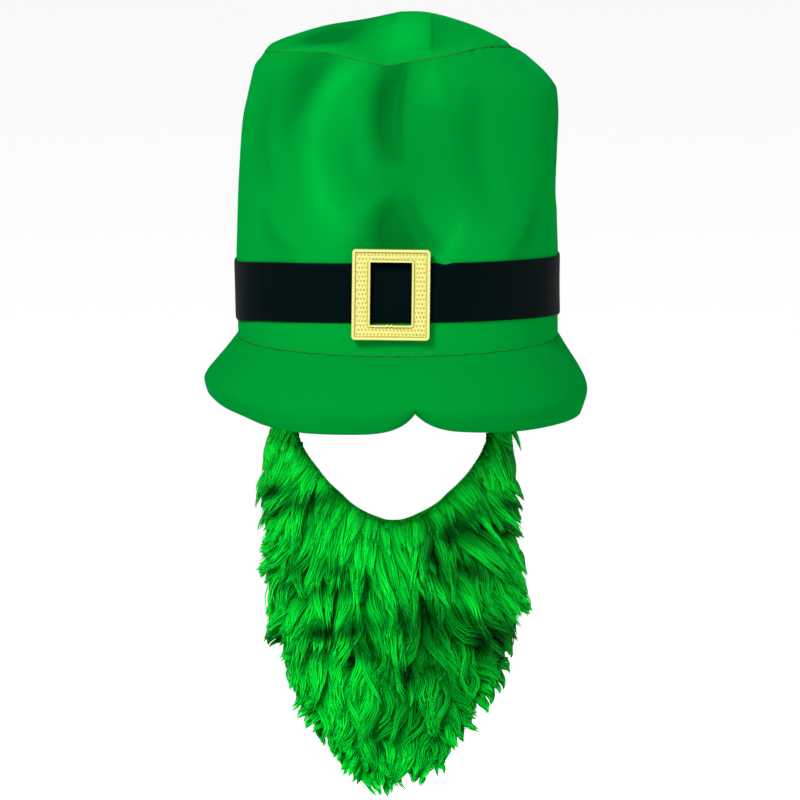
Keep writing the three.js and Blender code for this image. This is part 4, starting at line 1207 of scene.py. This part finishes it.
def shortened(hat, beard, fur, rng, root, line):
    """The share of its line that each lock keeps, so that its tip ends at the beard's outline, or a
    little past it on a wisp, and most of the locks over a step end there."""
    number = len(root)
    lot = rng.uniform(size=number)
    past = np.where(lot < fur.wisps, WISP_REACH, rng.uniform(*TIP_SPREAD, number))
    scale = np.ones(number)
    for _ in range(14):
        tip = root + line[:, -1] * scale[:, None]
        scale = np.where(seen_inside(hat, beard, tip[:, 0], tip[:, 1]) < -past, scale * 0.92, scale)
    below_root, within = step_below(beard, root[:, 0], root[:, 1])
    tip = root + line[:, -1] * scale[:, None]
    below_tip, _ = step_below(beard, tip[:, 0], tip[:, 1])
    overhang = rng.uniform(0.0, OVERHANG, number)[:, None]
    cut = np.clip((overhang - below_root) / np.maximum(below_tip - below_root, 1e-6), 0.5, 1)
    chosen = rng.uniform(size=below_root.shape) < 0.7 * within
    crossing = (below_root < -0.004) & (below_tip > overhang) & chosen
    return scale * np.where(crossing, cut, 1).min(axis=1)


def heights_and_shaded_tones(beard, rng, root, tufts, rounded):
    """How high each lock lies, as a share of the pile, and its tone: high over a step and low in a hollow or
    under a step, and alike within a tuft, whose middle is its highest part. Painted shade darkens low locks
    and a tuft's sides, so the middle is also its brightest part."""
    nearest, tuft_number = tufts
    number = len(root)
    below, within = step_below(beard, root[:, 0], root[:, 1])
    shaded = (from_step(below, STEP_LOW) * within * (below > STEP_AT)).max(axis=1)
    raised = (from_step(below, STEP_HIGH) * within * (below < STEP_AT)).max(axis=1)
    tuft_height = rng.uniform(0.4, 0.95, tuft_number)[nearest]
    tuft_tone = rng.normal(1, 0.11, tuft_number)[nearest]
    hollow = np.maximum(0.75 * shaded, fur_shade(beard, root[:, 0], root[:, 1]))
    height = tuft_height + rng.normal(0, 0.09, number) - 0.5 * hollow + 0.2 * raised - 0.25 * (1 - rounded)
    height = np.clip(height, 0.15, 1.1)
    # Painted shade on low locks and on the sides of a tuft
    tone = tuft_tone * rng.normal(1, 0.08, number) * (0.6 + 0.5 * height) * (0.70 + 0.35 * rounded)
    return height, np.clip(tone, 0.2, 1.3)


def tubes(hat, beard, flat, forward, across, half_width, half_depth, turn):
    """Tapered tubes round paths on the beard's curve, each closed by a point at its root and at its tip:
    rings of an ellipse across the path, except at its last place, which is the tip."""
    side = half_width[..., :-1, None] * np.cos(turn)
    ring = flat[..., :-1, None, :] + side[..., None] * across[..., :-1, None, :]
    rise = forward[..., :-1, None] + half_depth[..., :-1, None] * np.sin(turn)
    body = beard_point(hat, beard, ring[..., 0], ring[..., 1], rise)
    ends = [beard_point(hat, beard, flat[..., i, 0], flat[..., i, 1], forward[..., i]) for i in (0, -1)]
    body = body.reshape(*body.shape[:-3], -1, 3)
    return np.concatenate([body, np.stack(ends, axis=-2)], axis=-2)


def tube_faces(rings, sides):
    """Triangles of one such tube: two for each side between rings, and a fan at each end."""
    ring, side = np.meshgrid(np.arange(rings - 1), np.arange(sides), indexing="ij")
    a, b = ring * sides + side, ring * sides + (side + 1) % sides
    walls = np.stack([a, b, b + sides, a, b + sides, a + sides], axis=-1).reshape(-1, 3)
    here, after = np.arange(sides), (np.arange(sides) + 1) % sides
    last, root = (rings - 1) * sides, rings * sides
    heel = np.stack([after, here, np.full(sides, root)], axis=-1)
    tip = np.stack([last + here, last + after, np.full(sides, root + 1)], axis=-1)
    return np.concatenate([walls, heel, tip])


def tube_objects(names, vertices, t, sides, tones):
    """Objects that share the tubes out from the top of the beard to its end, with how far along and around
    each point lies and its tone, painted light and shade included, which is given for each place along each
    tube."""
    faces, per = tube_faces(len(t) - 1, sides), vertices.shape[-2]
    vertices = vertices.reshape(-1, per, 3)
    tones = tones.reshape(len(vertices), -1)
    tones = np.concatenate([np.repeat(tones[:, :-1], sides, axis=1), tones[:, [0, -1]]], axis=1)
    place = np.concatenate([np.repeat(t[:-1], sides), [0, 1]])
    around = np.concatenate([np.tile(np.arange(sides) / sides, len(t) - 1), [0.5, 0.5]])
    objects = []
    shares = (np.array_split(array, len(names)) for array in (vertices, tones))
    for name, points, tone in zip(names, *shares):
        number = len(points)
        corners = (faces[None] + per * np.arange(number)[:, None, None]).reshape(-1, 3)
        values = {"along": np.tile(place, number), "around": np.tile(around, number), "tone": tone.ravel()}
        objects.append(new_mesh(name, points.reshape(-1, 3), corners, values=values))
    return objects


def lit(beard, flat, level_height, below_root):
    """Painted light and shade of hair at its places in the front view: painted shade in the fur's hollows,
    less so on high locks, painted light on its swells, painted shade growing towards the viewer's right, and
    painted shadow below a step on the locks that start under it."""
    x, level = flat[..., 0], flat[..., 1]
    hollow = fur_shade(beard, x, level) * (1.25 - 0.45 * level_height)
    hollow = hollow * (1 + 0.22 * patches("tone", x, level))
    side = 1 - RIGHT_SHADE * (x - beard.gap_shift) / beard.length
    below, within = step_below(beard, x, level)
    under = from_step(below, STEP_SHADOW) * within * (below_root > -STEP_ROOTS)
    swell = 1 + SWELL_LIGHT * np.clip(-hollow, 0, 1)
    dark = np.clip(np.maximum(hollow, STEP_SHADE * under.max(axis=-1)), 0, 1)
    return side * swell * (1 - HOLLOW_SHADE * dark)


def rise_of_lock(beard, fur, flat, t, height):
    """How far a lock stands off the backing along its run: quickly out of the short hair, then level with
    the pile, with its tip lifted a little more."""
    depth = pile_height(beard, flat[..., 0], flat[..., 1])
    base = 0.34 * depth
    top = depth * height + fur.lift * height * t**1.6 * np.minimum(1, 1.4 * depth / beard.pile)
    return beard.backing + mix(base, np.maximum(top, base), 1 - (1 - t) ** 2.2)


def lock_pieces(hat, beard, fur, locks):
    """The locks: slim tapering tubes."""
    *_, sides = LOCK_STEPS
    t, breadth, taper = locks["t"], locks["breadth"], locks["taper"]
    core = LOCK_CORE * breadth * taper * (1 - t**3) ** 0.8
    turn = np.arange(sides) * 2 * np.pi / sides
    height, flat = locks["height"][:, None], locks["root"][:, None] + locks["line"]
    forward = rise_of_lock(beard, fur, flat, t, height) - LOCK_BELOW
    tubing = tubes(hat, beard, flat, forward, locks["across"], core, LOCK_FLAT * core, turn)
    tone = LOCK_SHADE * locks["tone"][:, None] * lit(beard, flat, height, locks["below"][:, None])
    return tube_objects(("fur_locks_top", "fur_locks_low"), tubing, t, sides, tone)


def hair_pieces(hat, beard, fur, locks, rng):
    """The long hairs that lie side by side over each lock: thin tubes of their own reach, sway and
    height."""
    t, breadth, taper = locks["t"], locks["breadth"], locks["taper"]
    height, each = locks["height"][:, None, None], (len(locks["root"]), fur.hairs)
    place = (np.linspace(-1, 1, fur.hairs) + rng.normal(0, 0.16, each))[..., None]
    reach = np.clip(rng.normal(0.98, 0.07, (*each, 1)) - 0.14 * np.abs(place), 0.5, 1.07)
    sway = rng.normal(0, HAIR_STRAY, (*each, 1)) * t**1.6 * locks["size"][:, None, None]
    aside = place * breadth[:, None] * taper + sway
    ways = locks["across"][:, None]
    hair = locks["root"][:, None, None] + locks["line"][:, None] * reach[..., None] + aside[..., None] * ways
    above = height * rng.uniform(0.93, 1.07, (*each, 1))
    dome = HAIR_DOME * breadth[:, None] * taper * (1 - np.minimum(place**2, 1))
    lifted = rise_of_lock(beard, fur, hair, t, above) + dome
    thin = fur.hair_width / 2 * mix(1, HAIR_TIP, t**1.6) * rng.uniform(0.7, 1.3, (*each, 1))
    turn = np.arange(HAIR_SIDES) * 2 * np.pi / HAIR_SIDES + np.pi / 6
    sideways = np.broadcast_to(ways, hair.shape)
    tubing = tubes(hat, beard, hair, lifted, sideways, thin, HAIR_FLAT * thin, turn)
    # Painted shade on a lock's outer hairs, which leaves its middle hairs brightest
    own = np.clip(rng.normal(1.06, 0.07, (*each, 1)) - 0.26 * place**2, 0.5, 1.4)
    tone = locks["tone"][:, None, None] * own * lit(beard, hair, height, locks["below"][:, None, None])
    names = ("fur_hairs_top", "fur_hairs_upper", "fur_hairs_lower", "fur_hairs_low")
    return tube_objects(names, tubing, t, HAIR_SIDES, tone)


def fur_pieces(hat, beard, fur):
    """The beard's locks, and the long hairs over each of them."""
    rng = np.random.default_rng(fur.seed)
    places, every, _ = LOCK_STEPS
    t = np.linspace(0, 1, places)
    x, level, edge = all_roots(hat, beard, fur, rng)
    root = np.stack([x, level], axis=-1)
    line, angles, size, tufts, rounded = gathered(hat, beard, fur, rng, x, level, t, edge)
    scale = shortened(hat, beard, fur, rng, root, line)
    height, tone = heights_and_shaded_tones(beard, rng, root, tufts, rounded)
    t, angles, line = t[::every], angles[:, ::every], (line * scale[:, None, None])[:, ::every]
    locks = {
        "t": t,
        "root": root,
        "line": line,
        "size": size * scale,
        "height": height,
        "tone": tone,
        "below": step_below(beard, x, level)[0],
        "across": np.stack([np.cos(angles), np.sin(angles)], axis=-1),
        "breadth": fur.lock_width / 2 * (rng.uniform(0.75, 1.25, len(x)) * np.where(edge, 0.7, 1))[:, None],
        "taper": mix(1, fur.tip_share, t**1.5) * (0.75 + 0.25 * np.sin(np.pi * t)),
    }
    return lock_pieces(hat, beard, fur, locks) + hair_pieces(hat, beard, fur, locks, rng)


BAND_SCALE = 0.3142  # scale at which a wave texture has one band to the metre


class Nodes:
    """A material's node tree, with short ways to add and join nodes. Sockets are named by keywords, with
    an underscore for each space."""

    def __init__(self, name, **finish):
        self.material = bpy.data.materials.new(name)
        self.material.use_nodes = True
        self.tree = self.material.node_tree
        self.shader = next(node for node in self.tree.nodes if node.type == "BSDF_PRINCIPLED")
        self.fill(self.shader, finish)

    def fill(self, node, inputs):
        """Sets a node's sockets to values, or joins them to other nodes' outputs."""
        for title, value in inputs.items():
            self.join(value, node.inputs[title.replace("_", " ")])

    def add(self, kind, settings=None, **inputs):
        """A node whose sockets are set to values or joined to other nodes' outputs."""
        node = self.tree.nodes.new("ShaderNode" + kind)
        for title, value in (settings or {}).items():
            setattr(node, title, value)
        self.fill(node, inputs)
        return node

    def join(self, value, socket):
        """Sets a socket to a value, or joins another node's output to it."""
        if isinstance(value, bpy.types.NodeSocket):
            self.tree.links.new(value, socket)
        else:
            socket.default_value = value

    def maths(self, operation, *values):
        """A sum on numbers or other nodes' outputs."""
        node = self.tree.nodes.new("ShaderNodeMath")
        node.operation = operation
        for value, socket in zip(values, node.inputs):
            self.join(value, socket)
        return node.outputs[0]

    def value(self, title):
        """A number that the mesh holds for each point."""
        return self.add("Attribute", {"attribute_name": title}).outputs["Fac"]

    def blend(self, part, a, b, mode="MIX"):
        """A colour between two others."""
        node = self.tree.nodes.new("ShaderNodeMix")
        node.data_type = "RGBA"
        node.blend_type = mode
        for value, place in ((part, 0), (a, 6), (b, 7)):
            self.join(value, node.inputs[place])
        return node.outputs[2]

    def noise(self, scale, detail=2.0, stretch=(1, 1, 1)):
        """Noise on the object's own coordinates."""
        place = self.add("TexCoord").outputs["Object"]
        mapping = self.add("Mapping", Vector=place, Scale=stretch)
        return self.add("TexNoise", Vector=mapping.outputs[0], Scale=scale, Detail=detail).outputs["Fac"]

    def weave(self, pitch, slant=0.0):
        """Threads that cross: bands along and across the surface's own map, in metres."""
        place = self.add("UVMap", {"uv_map": "Surface"}).outputs["UV"]
        turn = self.add("Mapping", Vector=place, Rotation=(0, 0, slant)).outputs[0]
        scale = BAND_SCALE / pitch
        ways = ("X", "Y")
        bands = [self.add("TexWave", {"bands_direction": way}, Vector=turn, Scale=scale) for way in ways]
        return self.maths("MULTIPLY", *(band.outputs["Fac"] for band in bands))

    def bump(self, height, distance, strength=1.0, under=None):
        """A bump, which may lie over another one."""
        node = self.add("Bump", Height=height, Distance=distance, Strength=strength)
        if under is not None:
            self.join(under, node.inputs["Normal"])
        return node.outputs[0]

    def finish(self, **joined):
        """Joins outputs to the shader and hands back the material."""
        self.fill(self.shader, joined)
        return self.material


def opaque(values, factor=1.0):
    """A colour made darker or brighter, with no transparency."""
    return tuple(value * factor for value in values) + (1.0,)


def satin(colours):
    """Green satin with a soft sheen: a fine weave, and a nap that is a little uneven."""
    sheen = {"Sheen_Weight": 0.05, "Sheen_Roughness": 0.35, "Sheen_Tint": (0.0, 1.0, 0.3, 1)}
    nodes = Nodes("green satin", Roughness=0.5, Specular_IOR_Level=0.0, **sheen)
    # The hollow values paint shade into the cloth's hollows and light onto its ridges
    sunk = nodes.maths("ADD", nodes.maths("MULTIPLY", nodes.value("hollow"), 0.5), 0.5)
    tone = nodes.blend(sunk, opaque(colours.cloth, 1.35), opaque(colours.cloth, 0.45))
    uneven = nodes.maths("MULTIPLY", nodes.noise(22.0, detail=3.0, stretch=(1, 1, 0.5)), 0.3)
    tone = nodes.blend(uneven, tone, opaque(colours.cloth, 0.85))
    fine = nodes.noise(900.0, stretch=(1, 1, 0.25))
    tone = nodes.blend(nodes.maths("MULTIPLY", fine, 0.22), tone, opaque(colours.cloth, 0.72))
    weave = nodes.bump(nodes.weave(0.0005, slant=0.6), distance=0.00006, strength=0.6)
    nap = nodes.bump(nodes.noise(260.0, detail=3.0), distance=0.0002, strength=0.35, under=weave)
    return nodes.finish(Base_Color=tone, Normal=nap)


def seam_cloth(colours):
    """Folded cloth with stitches across it."""
    nodes = Nodes("seam cloth", Roughness=0.7, Specular_IOR_Level=0.0)
    twist = nodes.weave(0.0004, slant=0.7)
    tone = nodes.blend(twist, opaque(colours.seam, 0.85), opaque(colours.seam, 1.15))
    return nodes.finish(Base_Color=tone, Normal=nodes.bump(twist, distance=0.0001, strength=0.4))


def ribbon_black(colours):
    """Black satin ribbon with fine cross ribs and a faint gloss."""
    nodes = Nodes("black ribbon", Roughness=0.55, Specular_IOR_Level=0.01)
    ribs = nodes.add("TexWave", {"bands_direction": "X"}, Scale=BAND_SCALE / 0.0007)
    nodes.join(nodes.add("UVMap", {"uv_map": "Surface"}).outputs["UV"], ribs.inputs["Vector"])
    uneven = nodes.noise(30.0, detail=3.0)
    tone = nodes.blend(uneven, opaque(colours.ribbon, 0.8), opaque(colours.ribbon, 1.35))
    soft = nodes.bump(nodes.noise(120.0), distance=0.0002, strength=0.3)
    ribbed = nodes.bump(ribs.outputs["Fac"], distance=0.00008, strength=0.5, under=soft)
    return nodes.finish(Base_Color=tone, Normal=ribbed)


def gold_plating(colours):
    """Bright gold on moulded plastic, with painted shade in its grooves and dashes, and small flow marks."""
    nodes = Nodes("gold plating", Roughness=0.38, Metallic=0.4, Specular_IOR_Level=0.6)
    tone = nodes.blend(nodes.value("hollow"), opaque(colours.gold), opaque(colours.groove))
    tone = nodes.blend(nodes.maths("MULTIPLY", nodes.noise(70.0), 0.15), tone, opaque(colours.groove))
    marks = nodes.bump(nodes.noise(500.0), distance=0.0001, strength=0.25)
    return nodes.finish(Base_Color=tone, Normal=marks)


def fur_hair(colours):
    """Silky hair: painted shade at the root, brighter towards the tip, with streaks along each lock and a
    tone that holds painted light and shade besides its own random variation."""
    nodes = Nodes("fur hair", Roughness=0.5, Specular_IOR_Level=0.06, Specular_Tint=(0.05, 1.0, 0.2, 1))
    place, around, own = (nodes.value(title) for title in ("along", "around", "tone"))
    sideways = nodes.maths("MULTIPLY_ADD", own, 60.0, nodes.maths("MULTIPLY", around, 9.0))
    lengthways, apart = nodes.maths("MULTIPLY", place, 1.4), nodes.maths("MULTIPLY", own, 25.0)
    spot = nodes.add("CombineXYZ", X=sideways, Y=lengthways, Z=apart)
    streaks = nodes.add("TexNoise", Vector=spot.outputs[0], Scale=1.6, Detail=3.0).outputs["Fac"]
    # Painted shade at the roots, fading out towards the tips
    rising = nodes.maths("POWER", place, 0.7)
    tone = nodes.blend(rising, opaque(colours.fur_root_shade), opaque(colours.fur_tip))
    shade = nodes.maths("MULTIPLY", own, nodes.maths("ADD", nodes.maths("MULTIPLY", streaks, 0.6), 0.68))
    tone = nodes.blend(shade, (0, 0, 0, 1), tone)
    return nodes.finish(Base_Color=tone, Normal=nodes.bump(streaks, distance=0.0005, strength=0.5))


def underfur_hair(colours):
    """The hair at the roots, coloured in painted shade."""
    nodes = Nodes("underfur", Roughness=0.9, Specular_IOR_Level=0.02)
    streaks = nodes.noise(420.0, detail=3.0, stretch=(1, 1, 0.12))
    tone = nodes.blend(streaks, opaque(colours.fur_root_shade, 0.35), opaque(colours.fur_root_shade, 1.1))
    return nodes.finish(Base_Color=tone, Normal=nodes.bump(streaks, distance=0.0008, strength=0.8))


def knit(colours):
    """Knitted backing: rows of small loops."""
    nodes = Nodes("knitted backing", Roughness=0.85, Specular_IOR_Level=0.1)
    loops = nodes.weave(0.0014)
    tone = nodes.blend(loops, opaque(colours.backing, 0.65), opaque(colours.backing, 1.2))
    fuzz = nodes.bump(nodes.noise(600.0), distance=0.0003, strength=0.4)
    knitted = nodes.bump(loops, distance=0.0004, strength=0.8, under=fuzz)
    return nodes.finish(Base_Color=tone, Normal=knitted)


class HAT_OT_stage(bpy.types.Operator):
    """Makes the floor, the lights and the camera"""

    bl_idname = "hat.stage"
    bl_label = "Stage"

    def execute(self, context):
        stage = context.scene.hat_stage
        context.scene.view_settings.view_transform = "Standard"
        radius = stage.floor_radius * np.linspace(0, 1, 5)[:, None] ** 3
        floor = grid_object("floor", polar(round_the_hat(96), radius, stage.floor_level), False)
        pale = Nodes("pale floor", Roughness=0.9)
        tone = pale.blend(pale.noise(0.4), opaque(stage.floor_colour, 0.99), opaque(stage.floor_colour))
        floor.data.materials.append(pale.finish(Base_Color=tone))
        world = context.scene.world or bpy.data.worlds.new("world")
        context.scene.world = world
        world.use_nodes = True
        daylight = world.node_tree.nodes["Background"]
        daylight.inputs["Color"].default_value = (1, 1, 1, 1)
        daylight.inputs["Strength"].default_value = stage.daylight
        for name, (place, size) in LIGHTS.items():
            lamp = bpy.data.lights.new(name, "AREA")
            lamp.size = size
            lamp.energy = getattr(stage, name + "_power")
            light = bpy.data.objects.new(name, lamp)
            light.location = place
            light.rotation_euler = (-Vector(place)).to_track_quat("-Z", "Y").to_euler()
            context.collection.objects.link(light)
        camera = bpy.data.objects.new("camera", bpy.data.cameras.new("camera"))
        rise = stage.camera_rise
        back = Vector((0, -np.cos(rise), np.sin(rise)))
        camera.location = Vector((stage.aim_across, 0, stage.aim_level)) + back * stage.camera_distance
        camera.rotation_euler = back.to_track_quat("Z", "Y").to_euler()
        camera.data.lens = camera.data.sensor_width * stage.camera_distance / stage.view_height
        context.collection.objects.link(camera)
        context.scene.camera = camera
        return {"FINISHED"}


class HAT_OT_crown(bpy.types.Operator):
    """Makes the crown's wall and its domed tip"""

    bl_idname = "hat.crown"
    bl_label = "Crown"

    def execute(self, context):
        scene = context.scene
        cloth = satin(scene.hat_colours)
        wall = dress(crown_wall(scene.hat), cloth, "green_cloth", "crown_wall")
        tip = dress(crown_tip(scene.hat), cloth, "green_cloth", "crown_tip")
        cord = seam_cord(scene.hat, scene.hat_band, "tip_seam_cord", 1.0, tip_level)
        dress(cord, seam_cloth(scene.hat_colours), "green_cloth")
        return {"FINISHED"}


class HAT_OT_brim(bpy.types.Operator):
    """Makes the drooping brim and the cord in its seam"""

    bl_idname = "hat.brim"
    bl_label = "Brim"

    def execute(self, context):
        scene = context.scene
        cloth = bpy.data.materials.get("green satin") or satin(scene.hat_colours)
        piece = dress(brim(scene.hat), cloth, "green_cloth", "brim")
        folded = bpy.data.materials.get("seam cloth") or seam_cloth(scene.hat_colours)
        dress(seam_cord(scene.hat, scene.hat_band, "brim_seam_cord", 0.0, seam_level), folded, "green_cloth")
        return {"FINISHED"}


class HAT_OT_band(bpy.types.Operator):
    """Makes the black ribbon round the crown"""

    bl_idname = "hat.band"
    bl_label = "Band"

    def execute(self, context):
        scene = context.scene
        piece = ribbon(scene.hat, scene.hat_band)
        dress(piece, ribbon_black(scene.hat_colours), "black_ribbon", "hat_band")
        return {"FINISHED"}


class HAT_OT_buckle(bpy.types.Operator):
    """Makes the moulded gold buckle"""

    bl_idname = "hat.buckle"
    bl_label = "Buckle"

    def execute(self, context):
        scene = context.scene
        dress(buckle_frame(scene.hat_buckle), gold_plating(scene.hat_colours), "gold_plastic", "buckle")
        return {"FINISHED"}


class HAT_OT_beard(bpy.types.Operator):
    """Makes the beard's knitted backing and the short hair at its roots"""

    bl_idname = "hat.beard"
    bl_label = "Beard cloth"

    def execute(self, context):
        scene = context.scene
        knitted, hair = knit(scene.hat_colours), underfur_hair(scene.hat_colours)
        backing = dress(beard_backing(scene.hat, scene.hat_beard), knitted, "green_fur", "beard")
        under = dress(beard_underfur(scene.hat, scene.hat_beard), hair, "green_fur", "beard")
        return {"FINISHED"}


class HAT_OT_fur(bpy.types.Operator):
    """Makes the beard's long hair in locks"""

    bl_idname = "hat.fur"
    bl_label = "Fur"

    def execute(self, context):
        scene = context.scene
        hair = fur_hair(scene.hat_colours)
        for piece in fur_pieces(scene.hat, scene.hat_beard, scene.hat_fur):
            dress(piece, hair, "green_fur", "beard")
        return {"FINISHED"}


OPERATORS = (
    HAT_OT_stage,
    HAT_OT_crown,
    HAT_OT_brim,
    HAT_OT_band,
    HAT_OT_buckle,
    HAT_OT_beard,
    HAT_OT_fur,
)


class HAT_PT_panel(bpy.types.Panel):
    """Sizes, colours and pieces of the hat"""

    bl_label = "Leprechaun Hat"
    bl_space_type = "VIEW_3D"
    bl_region_type = "UI"
    bl_category = "Hat"

    def draw(self, context):
        for title, group in GROUPS.items():
            box = self.layout.box()
            box.label(text=title.replace("_", " ").capitalize())
            for name in group.__annotations__:
                box.prop(getattr(context.scene, title), name)
        for operator in OPERATORS:
            self.layout.operator(operator.bl_idname)


def register():
    """Registers the classes and gives the scene its groups of sizes and colours."""
    for item in (*GROUPS.values(), *OPERATORS, HAT_PT_panel):
        bpy.utils.register_class(item)
    for title, group in GROUPS.items():
        setattr(bpy.types.Scene, title, bpy.props.PointerProperty(type=group))


def unregister():
    """Takes them away again."""
    for title in GROUPS:
        delattr(bpy.types.Scene, title)
    for item in (HAT_PT_panel, *reversed(OPERATORS), *reversed(GROUPS.values())):
        bpy.utils.unregister_class(item)


def main():
    """Registers the add-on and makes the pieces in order."""
    register()
    bpy.ops.hat.stage()
    bpy.ops.hat.crown()
    bpy.ops.hat.brim()
    bpy.ops.hat.band()
    bpy.ops.hat.buckle()
    bpy.ops.hat.beard()
    bpy.ops.hat.fur()


if __name__ == "__main__":
    main()
